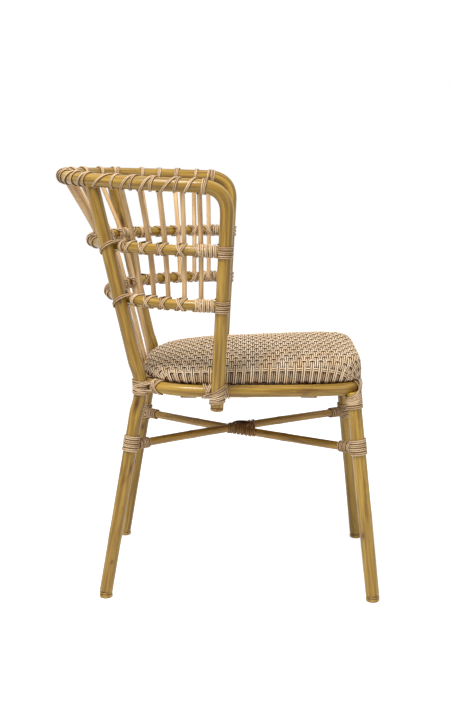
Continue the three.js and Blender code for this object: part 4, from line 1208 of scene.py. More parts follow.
@dataclass
class Lashings:
    """Cord wound tight round the joints, two turns to a pair."""

    skeleton: Skeleton
    cord_radius: float = 0.00155
    tie_radius: float = 0.00135
    pitch_share: float = 2.12
    pair_gap: float = 0.0013
    pair_jump: float = 0.25
    beside_share: float = 2.2
    steps: int = 26
    cord_step: float = 0.0026
    sides: int = 8
    bearings: int = 90
    least_slant: float = 0.7
    least_facing: float = 0.08
    rod_reach: float = 0.11
    tone_start: float = 0.15
    tone_shift: float = 0.07

    leg_turns: int = 8
    leg_rise: float = 0.0045
    arm_turns: int = 7
    crossing_turns: int = 14
    crossing_tones: tuple[float, ...] = (0.95, 0.1, 0.25, 0.0)
    arch_steps: int = 40
    arch_reach: float = 0.46
    arch_rise: float = 1.3
    arch_drop: float = 0.012

    pole_turns: int = 7
    pole_level_lean: float = 0.22
    pole_leans: tuple[float, ...] = (0.5, -0.45)
    pole_ties: tuple[float, tuple[float, ...]] = (0.024, (0.6, -0.6))
    pole_collars: tuple[tuple[int, float, int], ...] = ((1, 0.0135, 2), (-1, 0.020, 3))
    post_fan_low: tuple[tuple[float, float], ...] = ((0.14, -0.0135), (0.28, -0.0065))
    post_fan_high: tuple[tuple[float, float], ...] = ((0.44, 0.0012), (0.60, 0.0088))
    post_ties: tuple[tuple[float, tuple[float, ...]], ...] = (
        (0.0155, (0.15,)), (-0.0182, (0.45, -0.45)),
    )
    leg_fan_depth: float = 0.0255
    leg_fan_turns: int = 6
    leg_fan_low: tuple[tuple[float, float], ...] = (
        (0.18, 0.0155), (0.36, 0.012), (0.62, 0.0065),
    )
    leg_fan_high: tuple[float, ...] = (0.9, 1.25)
    leg_collar: tuple[float, int] = (0.012, 5)

    post_turns: int = 6
    rail_end_turns: int = 9
    pole_rail_lean: float = -0.66
    pole_rail_collars: tuple[tuple[int, float, int], ...] = ((1, 0.018, 2), (-1, 0.020, 3))
    tie_leans: tuple[float, ...] = (1.45, -1.45)

    top_half_way: float = 0.72
    top_back: float = 0.004
    counter_start: float = 0.013
    counter_run: float = 0.019
    end_turns: int = 3
    end_gap: float = 0.006
    top_reach: int = 24

    def rod(self, word: str, place: np.ndarray) -> Rod:
        """The stretch of a pole nearest to a place."""
        line = self.skeleton.lines[word]
        return self.rod_of(line, self.skeleton.radius(word), place)

    def rod_of(self, line: np.ndarray, radius: float, place: np.ndarray) -> Rod:
        """The stretch of any line nearest to a place.

        Args:
            line: The pole's centre line.
            radius: Its radius.
            place: The place.

        Returns:
            The stretch.
        """
        found, run = nearest(place[None], line)
        kept = line[np.linalg.norm(line - place, axis=1) < self.rod_reach]
        return Rod(found[0], run[0], radius, kept if len(kept) > 1 else line)

    def turns(self, rods: list[Rod], centre: np.ndarray, axis: np.ndarray, count: float, start: np.ndarray,
              radius: float | None = None) -> np.ndarray:
        """A cord drawn tight round rods, turn beside turn.

        Args:
            rods: What it goes round.
            centre: The middle of the turns.
            axis: The way that the turns advance.
            count: How many turns there are.
            start: The side on which it starts and ends.
            radius: The cord's radius, or None for the usual one.

        Returns:
            The cord's centre line.
        """
        radius = radius or self.cord_radius
        axis = unit(axis)
        right = square_to(axis, start)
        left = np.cross(axis, right)
        turn = np.linspace(0.0, count, round(count * self.steps) + 1)
        pairs = np.floor(turn / 2) + np.clip((turn % 2 - 2 + self.pair_jump) / self.pair_jump, 0.0, 1.0)
        offset = self.pitch_share * radius * turn + self.pair_gap * pairs
        offset = offset - (offset[0] + offset[-1]) / 2
        facing = 2 * math.pi * turn
        bearing = np.linspace(0.0, 2 * math.pi, self.bearings, endpoint=False)
        support = np.full((len(turn), self.bearings), -np.inf)
        for rod in rods:
            slant = rod.run @ axis
            slant = math.copysign(max(abs(slant), self.least_slant), slant)
            along = (offset - (rod.place - centre) @ axis) / slant
            hit = rod.place + along[:, None] * rod.run - centre
            flat = np.stack([hit @ right, hit @ left], axis=1)
            lean = math.atan2(rod.run @ left, rod.run @ right)
            reach = rod.radius + radius
            size = np.hypot(reach / abs(slant) * np.cos(bearing - lean), reach * np.sin(bearing - lean))
            level = flat @ np.stack([np.cos(bearing), np.sin(bearing)]) + size
            support = np.maximum(support, level)
        gap = np.cos(bearing[None] - facing[:, None])
        distance = np.where(gap > self.least_facing, support / np.maximum(gap, self.least_facing), np.inf)
        out = np.cos(facing)[:, None] * right + np.sin(facing)[:, None] * left
        return centre + offset[:, None] * axis + distance.min(axis=1)[:, None] * out

    def clear(self, cord: np.ndarray, rods: list[Rod], radius: float | None = None,
              passes: int = 3) -> np.ndarray:
        """A cord pushed out of whatever rods it enters.

        Args:
            cord: The cord's centre line.
            rods: The rods to clear.
            radius: The cord's radius, or None for the usual one.
            passes: How many times it is pushed.

        Returns:
            The new centre line.
        """
        radius = radius or self.cord_radius
        for _ in range(passes):
            for rod in rods:
                found, _run = nearest(cord, rod.line)
                away = cord - found
                lack = rod.radius + radius - np.linalg.norm(away, axis=1)
                cord = cord + unit(away) * np.maximum(lack, 0.0)[:, None]
        return cord

    def wound(self, rods: list[Rod], centre: np.ndarray, axis: np.ndarray, count: float, start: np.ndarray,
              others: list[Rod] | None = None, radius: float | None = None) -> np.ndarray:
        """Turns that are then pushed out of what they could enter.

        Args:
            rods: What the cord goes round.
            centre: The middle of the turns.
            axis: The way that the turns advance.
            count: How many turns there are.
            start: The side on which the cord starts and ends.
            others: What to push it out of, or None for the same rods.
            radius: The cord's radius, or None for the usual one.

        Returns:
            The cord's centre line.
        """
        return self.clear(self.turns(rods, centre, axis, count, start, radius), others or rods, radius)

    def bound(self, cords: list[np.ndarray], name: str, radius: float | None = None, mirror: bool = False,
              finish: Finish = BINDING_CORD, tones: tuple[float, ...] = ()) -> None:
        """Makes one lashing of its cords.

        Args:
            cords: Their centre lines.
            name: The node that the lashing stands for.
            radius: The cord's radius, or None for the usual one.
            mirror: Whether to carry it over to the left.
            finish: The cord's finish.
            tones: Each cord's tone, or nothing for the usual spread.
        """
        radius = radius or self.cord_radius
        pieces = Pieces()
        for i, cord in enumerate(cords):
            run = lengths_along(cord)
            places = np.linspace(0.0, run[-1], max(2, round(run[-1] / self.cord_step) + 1))
            usual = (self.tone_start + GOLDEN * i + self.tone_shift * len(name)) % 1.0
            # Each cord gets painted shade along its flanks, where it lies against the next turn and the pole.
            pieces.add_tube(read_along(cord, run, places), radius, sides=self.sides, edge=0.8 * radius,
                            normals=read_along(self.outward(cord), run, places), painted_shade=0.0,
                            tone=tones[i] if tones else usual)
        pieces.build(f"cord_{name}", finish, "binding_cord", [name], mirror=mirror)

    def outward(self, cord: np.ndarray) -> np.ndarray:
        """At each point of a wound cord, the way out from the middle of the turn round it.

        Args:
            cord: The cord's centre line.

        Returns:
            The directions.
        """
        half = self.steps // 2
        sums = np.concatenate([np.zeros((1, 3)), np.cumsum(cord, axis=0)])
        here = np.arange(len(cord))
        low, high = np.maximum(here - half, 0), np.minimum(here + half + 1, len(cord))
        return unit(cord - (sums[high] - sums[low]) / (high - low)[:, None])

    def both_sides(self, cords: list[np.ndarray], stem: str) -> None:
        """Makes a lashing on the right and its mirror image on the left."""
        self.bound(cords, f"{stem}_right")
        self.bound(cords, f"{stem}_left", mirror=True)

    def beside(self, rod: Rod) -> float:
        """How far from a rod's centre line the turns beside it start."""
        return rod.radius + self.beside_share * self.cord_radius

    def collar(self, rod: Rod, away: np.ndarray, gap: float, count: int) -> np.ndarray:
        """Close turns on one pole beside a joint.

        Args:
            rod: The pole at the joint.
            away: The way along it from the joint.
            gap: How far from the joint's place the turns start.
            count: How many turns there are.

        Returns:
            The cord's centre line.
        """
        run = rod.run * math.copysign(1.0, rod.run @ away)
        length = count * self.pitch_share * self.cord_radius + count // 2 * self.pair_gap
        here = self.rod_of(rod.line, rod.radius, rod.place + run * (gap + length / 2))
        return self.wound([here], here.place, run, count, -UP, [rod])

    def collars(self, rod: Rod, away: np.ndarray,
                places: tuple[tuple[int, float, int], ...]) -> list[np.ndarray]:
        """Collars on both sides of a joint, from their way, their gap and their turns."""
        return [self.collar(rod, way * away, gap, count) for way, gap, count in places]

    def slanted_ties(self, ring: Rod, other: Rod, aside: np.ndarray,
                     leans: tuple[float, ...]) -> list[np.ndarray]:
        """Slanting pairs on the ring beside a joint.

        Args:
            ring: The ring at the joint.
            other: The pole that it meets there.
            aside: How far along the ring from the joint the pairs lie.
            leans: How far each pair leans.

        Returns:
            The centre line of each pair.
        """
        beside = self.rod_of(ring.line, ring.radius, ring.place + aside)
        return [self.wound([beside], beside.place, beside.run + lean * UP, 2, -UP, [beside, other])
                for lean in leans]

    def stretcher_joints(self) -> None:
        """Turns round each leg and on the stretcher's end, and the binding where they cross."""
        lines = self.skeleton.lines
        for stretcher, rear, front in (("over", "rear_right", "front_left"),
                                       ("under", "rear_left", "front_right")):
            for leg, end in ((rear, 0), (front, -1)):
                place = lines[stretcher][end]
                pole, arm = self.rod(leg, place), self.rod(stretcher, place)
                inward = unit(lines[stretcher][len(lines[stretcher]) // 2] - place)
                middle = place + self.leg_rise * pole.run * np.sign(pole.run[2])
                round_leg = self.wound([pole], middle, pole.run, self.leg_turns, inward, [arm])
                on_arm = self.collar(arm, inward, self.beside(pole), self.arm_turns)
                kind, side = leg.split("_")
                word = "rear_pole" if kind == "rear" else "front_leg"
                self.bound([round_leg, on_arm], f"lashing_{word}_stretcher_{side}")
        over, under = lines["over"], lines["under"]
        middle = (over[len(over) // 2] + under[len(under) // 2]) / 2
        wound = self.turns([self.rod("over", middle), self.rod("under", middle)], middle, BACK,
                           self.crossing_turns, -UP)
        share = np.linspace(-1.0, 1.0, self.arch_steps)
        along = middle[1] + self.arch_reach * np.ptp(wound[:, 1]) * share
        rise = wound[:, 2].max() + self.arch_rise * self.cord_radius - self.arch_drop * np.abs(share) ** 3
        width = self.pitch_share * self.cord_radius
        arches = [np.stack([middle[0] + lane * width + 0 * share, along, rise], axis=-1)
                  for lane in (-1, 0, 1)]
        self.bound([wound, *arches], "lashing_stretcher_crossing", finish=DARK_CORD,
                   tones=self.crossing_tones)

    def inward(self, place: np.ndarray) -> np.ndarray:
        """The way from a place to the middle of the ring."""
        return unit(self.skeleton.ring_height * UP - place)

    def rear_pole_ring(self) -> None:
        """Level turns round the rear pole, crossed pairs round both, and ties and collars on the ring."""
        kink = self.skeleton.rear_kink(Side.RIGHT)
        pole, ring = self.rod("rear_right", kink), self.rod("ring", kink)
        forward = ring.run * math.copysign(1.0, -ring.run[1])
        inward, centre = self.inward(kink), (pole.place + ring.place) / 2
        level = self.wound([pole], pole.place, pole.run + self.pole_level_lean * forward, self.pole_turns,
                           inward, [ring, pole])
        crossed = [self.wound([pole, ring], centre, pole.run + lean * forward, 2, inward)
                   for lean in self.pole_leans]
        reach, leans = self.pole_ties
        near, behind = self.collars(ring, forward, self.pole_collars)
        ties = self.slanted_ties(ring, pole, reach * forward, leans)
        self.both_sides([level, *crossed, near, *ties, behind], "lashing_rear_pole_ring")

    def front_post_ring(self) -> None:
        """A fan of pairs, level round the post's end and steeper round both, with ties beside it."""
        place = self.skeleton.on_post(Side.RIGHT, self.skeleton.ring_height)
        post, ring = self.rod("hoop", place), self.rod("ring", place)
        up = post.run * math.copysign(1.0, post.run[2])
        cords = []
        for rods, centre, fan in (([post], post.place, self.post_fan_low),
                                  ([post, ring], (post.place + ring.place) / 2, self.post_fan_high)):
            cords += [self.wound(rods, centre + rise * up, up + lean * BACK, 2, self.inward(place),
                                 [post, ring]) for lean, rise in fan]
        for reach, leans in self.post_ties:
            cords += self.slanted_ties(ring, post, -reach * BACK, leans)
        self.both_sides(cords, "lashing_front_post_ring")

    def front_leg_ring(self) -> None:
        """Level turns round the leg, a fan of pairs up to the ring, and turns on the ring."""
        line = self.skeleton.lines["front_right"]
        leg, ring = self.rod("front_right", line[-1]), self.rod("ring", line[-1])
        inward, centre = self.inward(line[-1]), (leg.place + ring.place) / 2
        back = ring.run * math.copysign(1.0, ring.run[1] - ring.run[0])
        low = at_height(line, self.skeleton.ring_height - self.leg_fan_depth)
        cords = [self.turns([self.rod("front_right", low)], low, leg.run, self.leg_fan_turns, inward)]
        cords += [self.wound([leg], leg.place - drop * leg.run, leg.run + lean * back, 2, inward, [leg, ring])
                  for lean, drop in self.leg_fan_low]
        cords += [self.wound([leg, ring], centre, leg.run + lean * back, 2, inward)
                  for lean in self.leg_fan_high]
        self.both_sides([*cords, self.collar(ring, -back, *self.leg_collar)], "lashing_front_leg_ring")

    def rail_joints(self) -> None:
        """Lashings of the middle rails to the posts and the rear poles."""
        for word, height in self.skeleton.rail_heights.items():
            place = self.skeleton.on_post(Side.RIGHT, height)
            post, rail = self.rod("hoop", place), self.rod(word, place)
            bands = self.wound([post], post.place, post.run, self.post_turns, BACK)
            on_rail = self.collar(rail, BACK, self.beside(post), self.rail_end_turns)
            self.both_sides([bands, on_rail], f"lashing_{word}_rail_post")
            crossing = at_height(self.skeleton.lines["rear_right"], height)
            pole, rail = self.rod("rear_right", crossing), self.rod(word, crossing)
            forward = rail.run * math.copysign(1.0, -rail.run[1])
            band = self.wound([pole, rail], (pole.place + rail.place) / 2,
                              pole.run + self.pole_rail_lean * forward, 2, unit(rail.place - pole.place))
            self.both_sides([band, *self.collars(rail, forward, self.pole_rail_collars)],
                            f"lashing_{word}_rail_pole")

    def all_spindles(self) -> list[np.ndarray]:
        """Every spindle's line, from the right post round the back to the left one."""
        return [line for word in ("right", "rear", "left") for line in self.skeleton.spindles[word]]

    def rail_ties(self) -> None:
        """Crossed pairs that tie every spindle to both middle rails."""
        for word, height in self.skeleton.rail_heights.items():
            cords = []
            for line in self.all_spindles():
                place = at_height(line[::-1], height)
                stick, rail = self.rod_of(line, self.skeleton.spindle_dia / 2, place), self.rod(word, place)
                centre, start = (stick.place + rail.place) / 2, unit(rail.place - stick.place) - UP
                cords += [self.wound([stick, rail], centre, stick.run + lean * rail.run, 2, start,
                                     radius=self.tie_radius) for lean in self.tie_leans]
            self.bound(cords, f"lashing_{word}_rail_spindles", self.tie_radius)

    def round_hoop(self, places: np.ndarray, angles: np.ndarray) -> np.ndarray:
        """Places round the top rail.

        Args:
            places: How far along the rail they lie.
            angles: Their angles round it: zero faces out and a quarter turn faces up.

        Returns:
            The places, a cord's radius off the rail's skin.
        """
        hoop = self.skeleton.lines["hoop"]
        middle, stride = at_lengths(hoop, places), 0.002
        along = unit(at_lengths(hoop, places + stride) - at_lengths(hoop, places - stride))
        up = unit(UP - (along @ UP)[:, None] * along)
        out = np.cross(up, along)
        out *= np.sign((out * (middle - 0.05 * BACK)).sum(axis=1))[:, None]
        reach = self.skeleton.hoop_dia / 2 + self.tie_radius
        return middle + reach * (np.cos(angles)[:, None] * out + np.sin(angles)[:, None] * up)

    def top_rail(self) -> None:
        """A slanting pair and a steeper pair at each spindle, and close turns at both ends."""
        s = self.skeleton
        hoop, spindles = s.lines["hoop"], self.all_spindles()
        run = lengths_along(hoop)
        poles = [s.lines["rear_right"], s.lines["rear_left"]]
        tops = [line[0] for line in spindles] + [line[-1] for line in poles]
        stops = sorted(float(run[np.linalg.norm(hoop - top, axis=1).argmin()]) for top in tops)
        rods = [Rod(line[0], UP, s.spindle_dia / 2, line[:self.top_reach]) for line in spindles]
        rods += [Rod(line[-1], UP, s.rear_pole_dia / 2, line[-self.top_reach:]) for line in poles]
        share = np.linspace(0.0, 1.0, self.steps + 1)
        advance = np.interp(share, [0.0, 0.5, 1.0], [0.0, self.top_half_way, 1.0])
        width = self.pitch_share * self.tie_radius
        loops = []
        for here, after in zip(stops, stops[1:]):
            loops += [after - (after - here) * advance + lane - self.top_back for lane in (0.0, width)]
            loops += [after + self.counter_start + lane - self.counter_run * share for lane in (0.0, width)]
        for stop, way in ((stops[0], -1), (stops[-1], 1)):
            loops += [stop + way * (self.end_gap + k * width) + way * width * share
                      for k in range(self.end_turns)]
        angles = -math.pi / 2 + 2 * math.pi * share
        cords = [self.clear(self.round_hoop(places, angles), rods, self.tie_radius) for places in loops]
        self.bound(cords, "lashing_top_rail", self.tie_radius)

    def build(self) -> None:
        """Makes every lashing."""
        self.stretcher_joints()
        self.rear_pole_ring()
        self.front_post_ring()
        self.front_leg_ring()
        self.rail_joints()
        self.rail_ties()
        self.top_rail()


@dataclass
class WovenSeat:
    """A crowned seat of paired flat strands, woven over and under, that run on down its walls.

    The strands are straight on the seat's surface as it would lie unrolled: inside the rim a flat
    place is a place of the top, and outside it the distance to the rim is the way down the wall.
    """

    half_width: float = 0.217
    front_reach: float = 0.273
    rear_reach: float = 0.149
    front_power: float = 7.0
    rear_power: float = 2.7
    taper: float = 0.12
    base: float = 0.413
    rear_wall: float = 0.026
    front_wall: float = 0.053
    crown: float = 0.011
    crown_power: float = 2.6
    foot_inset: float = 0.018
    rear_lip: float = 0.0035
    front_lip: float = 0.005
    foot_roll: float = 0.005
    shoulder: float = 0.014

    cross_pitch: float = 0.008
    cross_lane: float = 0.00205
    cross_half_width: float = 0.00148
    cross_step: float = 0.0041
    long_pairs: int = 18
    long_pitch: float = 0.025
    long_taper: float = 0.064
    long_bend_reach: float = 0.09
    long_lane: float = 0.00175
    long_half_width: float = 0.00135
    long_step: float = 0.002
    half_thickness: float = 0.00095
    wave: float = 0.0013
    flat_reach: float = 0.34
    # Painted shade: on strands where they dip under others, on the walls' sunken pairs and along the foot.
    dip_from: float = 0.66
    dip_span: float = 0.22
    dip_shade: float = 0.95
    wall_shade: float = 0.32
    foot_dark: float = 0.0215
    foot_fade: float = 0.001
    shade_fade: float = 0.009
    rim_places: int = 1440
    wall_samples: int = 4
    wall_step: float = 0.001
    least_narrowing: float = 0.25
    least_places: int = 8
    ground_depth: float = 0.0024
    ground_gap: float = 0.0004
    ground_steps: int = 144
    ground_hub: float = 0.08
    ground_rings: int = 13
    strand_sides: int = 6
    fill: float = 0.8
    tone_drift: tuple[float, float, float] = (0.26, 0.83, 1.1)
    tone_flicker: tuple[float, float] = (0.23, 2.4)
    long_tone: float = 0.21

    def __post_init__(self) -> None:
        """Draws the rim and the walls' sections."""
        self.plan = PlanCurve(self.half_width, 0.0, self.rear_reach, self.rear_power, self.front_reach,
                              self.front_power, self.taper)
        self.middle = np.array([0.0, (self.rear_reach - self.front_reach) / 2, 0.0])
        angles = np.linspace(-math.pi, math.pi, self.rim_places, endpoint=False)
        self.rim = self.plan.at(angles, self.shoulder)
        rim = self.rim - self.middle
        bearing = np.arctan2(rim[:, 1], rim[:, 0])
        order = bearing.argsort()
        self.rim_bearing, self.rim_radius = bearing[order], np.hypot(rim[:, 0], rim[:, 1])[order]
        section = self.profile(angles, self.wall_samples)
        facing = self.facing(section, angles)
        runs = [lengths_along(row) for row in section]
        self.wall_length = np.array([run[-1] for run in runs])
        places = np.arange(0.0, self.wall_length.max() + 2 * self.wall_step, self.wall_step)
        self.sections = np.stack([read_along(row, run, places) for row, run in zip(section, runs)])
        self.facings = np.stack([read_along(row, run, places) for row, run in zip(facing, runs)])

    def front_share(self, y: np.ndarray) -> np.ndarray:
        """How far forward a place lies, from 0 at the rear to 1 at the front."""
        return np.clip((self.rear_reach - y) / (self.rear_reach + self.front_reach), 0.0, 1.0)

    def wall(self, y: np.ndarray) -> np.ndarray:
        """The height of the wall."""
        return self.rear_wall + (self.front_wall - self.rear_wall) * self.front_share(y)

    def lip(self, y: np.ndarray) -> np.ndarray:
        """The height of the drawn-in foot."""
        return self.rear_lip + (self.front_lip - self.rear_lip) * self.front_share(y)

    def narrowing(self, y: np.ndarray) -> np.ndarray:
        """How much closer the long pairs lie at a place than at the seat's widest.

        Args:
            y: How far back the places lie.

        Returns:
            A share of their usual distance.
        """
        back = np.clip(y, 0.0, self.long_bend_reach) / self.rear_reach
        bend = (1 - back**self.rear_power) ** (1 / self.rear_power)
        return bend + self.long_taper * np.minimum(y, 0.0) / self.front_reach

    def rim_share(self, place: np.ndarray) -> np.ndarray:
        """How far out places in plan lie, from 0 at the middle to 1 on the rim.

        Args:
            place: The places.

        Returns:
            Their shares.
        """
        away = place - self.middle
        bearing = np.arctan2(away[..., 1], away[..., 0])
        radius = np.interp(bearing, self.rim_bearing, self.rim_radius, period=2 * math.pi)
        return np.hypot(away[..., 0], away[..., 1]) / radius

    def on_top(self, place: np.ndarray) -> np.ndarray:
        """Places in plan lifted onto the crowned top.

        Args:
            place: The places in plan.

        Returns:
            The places on the top.
        """
        share = np.minimum(self.rim_share(place), 1.0)
        height = self.base + self.wall(place[..., 1]) + self.crown * (1 - share**self.crown_power)
        return np.stack([place[..., 0], place[..., 1], height], axis=-1)

    def normals_at(self, place: np.ndarray) -> np.ndarray:
        """The top's upward normals at places in plan."""
        dx, dy = (self.on_top(place + 1e-4 * way) - self.on_top(place - 1e-4 * way) for way in (ACROSS, BACK))
        return unit(np.cross(dx, dy))

    def profile(self, angle: np.ndarray, steps: int) -> np.ndarray:
        """The wall's section at angles of the outline, from the rim down to the foot.

        Args:
            angle: Angles of the outline.
            steps: Steps between two of the section's knots.

        Returns:
            For each angle, its points from the rim down.
        """
        outer = self.plan.at(angle)
        inward = self.plan.at(angle, self.foot_inset) - outer
        wall, lip = self.wall(outer[:, 1]), self.lip(outer[:, 1])
        inset = self.shoulder / self.foot_inset
        knots = [
            (inset, self.wall((outer + inset * inward)[:, 1])),
            (0.4 * inset, 0.89 * wall),
            (0.1 * inset, 0.72 * wall),
            (0.0, lip + self.foot_roll),
            (0.1, lip + 0.65 * self.foot_roll),
            (0.45, lip + 0.3 * self.foot_roll),
            (1.0, np.full(len(wall), 0.1 * self.foot_roll)),
        ]
        rows = np.stack([outer + share * inward + (self.base + rise)[:, None] * UP for share, rise in knots])
        return smooth_through(rows, steps).transpose(1, 0, 2)

    def facing(self, section: np.ndarray, angle: np.ndarray) -> np.ndarray:
        """The outward normals of wall sections at angles of the outline."""
        down = unit(np.gradient(section, axis=1))
        return unit(np.cross(down, np.cross(UP, self.plan.outward(angle))[:, None]))

    def surface(self, flat: np.ndarray) -> tuple[np.ndarray, np.ndarray, np.ndarray]:
        """Places on the seat for places of its unrolled surface.

        Args:
            flat: The flat places, with a height of zero.

        Returns:
            The places on the seat, the normals there and how far it still is to the foot.
        """
        points, normals, left = self.on_top(flat), self.normals_at(flat), np.full(len(flat), self.half_width)
        outside = self.rim_share(flat) > 1
        if not outside.any():
            return points, normals, left
        spots, count = flat[outside], len(self.rim)
        index = ((spots[:, None, :2] - self.rim[None, :, :2]) ** 2).sum(axis=2).argmin(axis=1)
        run = (self.rim[(index + 1) % count] - self.rim[index - 1]) / 2
        place = index + ((spots - self.rim[index]) * run).sum(axis=1) / (run**2).sum(axis=1)
        low = np.floor(place).astype(int)
        share, here, after = (place - low)[:, None], low % count, (low + 1) % count
        rim = (1 - share) * self.rim[here] + share * self.rim[after]
        depth = np.linalg.norm(spots - rim, axis=1)
        row = np.minimum((depth / self.wall_step).astype(int), self.sections.shape[1] - 2)
        part = np.clip(depth / self.wall_step - row, 0.0, 1.0)[:, None]
        for found, table in ((points, self.sections), (normals, self.facings)):
            near = (1 - part) * table[here, row] + part * table[here, row + 1]
            far = (1 - part) * table[after, row] + part * table[after, row + 1]
            found[outside] = (1 - share) * near + share * far
        left[outside] = self.wall_length[here] - depth
        return points, unit(normals), left

    def add_strand(self, pieces: Pieces, flat: np.ndarray, beside: np.ndarray, half: float, level: np.ndarray,
                   painted_shade: np.ndarray, tone: float) -> None:
        """Adds one strand, from foot to foot.

        Args:
            pieces: What it is added to.
            flat: Its line on the unrolled surface.
            beside: The unrolled surface's direction across it.
            half: Half its width where the surface isn't drawn together.
            level: How proud of the surface it lies at each place, from -1 to 1.
            painted_shade: How dark its dips are.
            painted_shade: The painted shade on its dips.
        """
        line, normals, left = self.surface(flat)
        kept = left >= 0
        if kept.sum() < self.least_places:
            return
        # Painted shadow on the strand's last stretch, under the rolled foot where the seat sits over the
        # ring.
        painted_shade = painted_shade + np.clip((self.foot_dark - left) / self.foot_fade, 0.0, 1.0)
        apart = self.surface(flat + self.wall_step * beside)[0] - line
        run = unit(np.gradient(line, axis=0))
        apart -= (apart * run).sum(axis=1, keepdims=True) * run
        drawn = np.linalg.norm(apart, axis=1) / self.wall_step
        wide = half * np.clip(drawn, self.least_narrowing, 1.0) ** 0.5
        span = slice(kept.argmax(), len(kept) - kept[::-1].argmax())
        line = line + self.wave * level[:, None] * normals
        pieces.add_tube(line[span], wide[span], np.full(len(line), self.half_thickness)[span],
                        sides=self.strand_sides, normals=normals[span], tone=tone % 1.0, painted_shade=painted_shade[span])

    def dips(self, level: np.ndarray) -> np.ndarray:
        """How far a strand has gone down under the others, from 0 to 1."""
        return np.clip((-level - self.dip_from) / self.dip_span, 0.0, 1.0)

    def cross_tone(self, index: int, lane: int) -> float:
        """The tone of a cross strand, which drifts from pair to pair and differs within a pair."""
        (drift, pace, start), (flicker, fast) = self.tone_drift, self.tone_flicker
        return 0.5 + drift * math.sin(pace * index + start) + flicker * math.sin(fast * index + lane)

    def cross_strands(self) -> Pieces:
        """The strands that run from side to side, and down the side walls.

        Returns:
            Their mesh.
        """
        pieces = Pieces()
        last = (self.long_pairs - 1) / 2
        x = np.arange(-self.flat_reach, self.flat_reach, self.cross_step)
        rows = int(self.flat_reach / self.cross_pitch)
        for index in range(-rows, rows):
            y = index * self.cross_pitch
            place = x / (self.long_pitch * self.narrowing(np.array(y)))
            level = np.cos(math.pi * (np.clip(place, -last, last) + last + index))
            past = np.clip((np.abs(place) - last) * self.long_pitch / self.shade_fade, 0.0, 1.0)
            # Painted shade where the strand dips under a long pair, going over to the walls' painted shade
            # past the outermost pair.
            painted_shade = self.dips(level) * (self.dip_shade + (self.wall_shade - self.dip_shade) * past)
            for lane in (-1, 1):
                flat = np.stack([x, np.full(len(x), y + lane * self.cross_lane), 0 * x], axis=-1)
                self.add_strand(pieces, flat, BACK, self.cross_half_width, level, painted_shade,
                                self.cross_tone(index, lane))
        return pieces

    def long_strands(self) -> Pieces:
        """The strands that run from front to rear, and down the front and rear walls.

        Returns:
            Their mesh.
        """
        pieces = Pieces()
        y = np.arange(-self.flat_reach, self.flat_reach, self.long_step)
        for index in range(self.long_pairs):
            level = -np.cos(math.pi * (y / self.cross_pitch + index))
            level = np.sign(level) * np.abs(level) ** 0.5
            x = (index - (self.long_pairs - 1) / 2) * self.long_pitch * self.narrowing(y)
            for lane in (-1, 1):
                flat = np.stack([x + lane * self.long_lane, y, 0 * y], axis=-1)
                tone = self.long_tone + GOLDEN * (2 * index + lane)
                self.add_strand(pieces, flat, ACROSS, self.long_half_width, level,
                                self.dip_shade * self.dips(level), tone)
        return pieces

    def ground(self) -> Pieces:
        """The closed body under the strands.

        Returns:
            Its mesh.
        """
        # The body is near-black: painted shade for the gaps between the strands.
        angles = np.linspace(-math.pi, math.pi, self.ground_steps, endpoint=False)
        section = self.profile(angles, self.wall_samples)
        wall = section - self.ground_depth * self.facing(section, angles)
        wall[:, -1, 2] = wall[:, -2, 2] = self.base + self.ground_gap
        shares = np.linspace(self.ground_hub, 1.0, self.ground_rings + 1)[:-1]
        rim = self.plan.at(angles, self.shoulder)
        top = self.on_top(self.middle + shares[None, :, None] * (rim - self.middle)[:, None])
        rows = np.concatenate([top - self.ground_depth * UP, wall], axis=1).transpose(1, 0, 2)
        count, size = rows.shape[:2]
        first = np.arange(count - 1)[:, None] * size
        here, after = np.arange(size), (np.arange(size) + 1) % size
        quads = np.stack([first + here, first + size + here, first + size + after, first + after], -1)
        caps = [list(range(size)), list(range(count * size - 1, (count - 1) * size - 1, -1))]
        pieces = Pieces()
        points = rows.reshape(-1, 3)
        pieces.add(points, quads.reshape(-1, 4).tolist() + caps, points, 0.5)
        return pieces

    def build(self) -> None:
        """Makes the body and the two sets of strands."""
        body = self.ground().build("woven_seat_body", SHADE_UNDER_WEAVE, "woven_seat", ["seat_pad"])
        self.cross_strands().build("seat_cross_strands", WEAVE_STRAND, "woven_seat", [])
        self.long_strands().build("seat_long_strands", WEAVE_STRAND, "woven_seat", [])


@dataclass
class SeatSupport:
    """The board and the bearers under the seat, whose solids stay as they are."""

    nodes: tuple[str, ...] = ("seat_board", "seat_bearer_front", "seat_bearer_rear")

    def dress(self) -> None:
        """Gives them their wood."""
        for name in self.nodes:
            if name in bpy.data.objects:
                for place in bpy.data.objects[name].material_slots:
                    place.material = SEAT_BOARD.material()
                log.info("%s: dressed", name)


def placing(right: np.ndarray, up: np.ndarray, back: np.ndarray, place: np.ndarray) -> Matrix:
    """The placing of a camera or a lamp from its directions and its place."""
    return Matrix([*np.stack([right, up, back, place], axis=1).tolist(), [0.0, 0.0, 0.0, 1.0]])


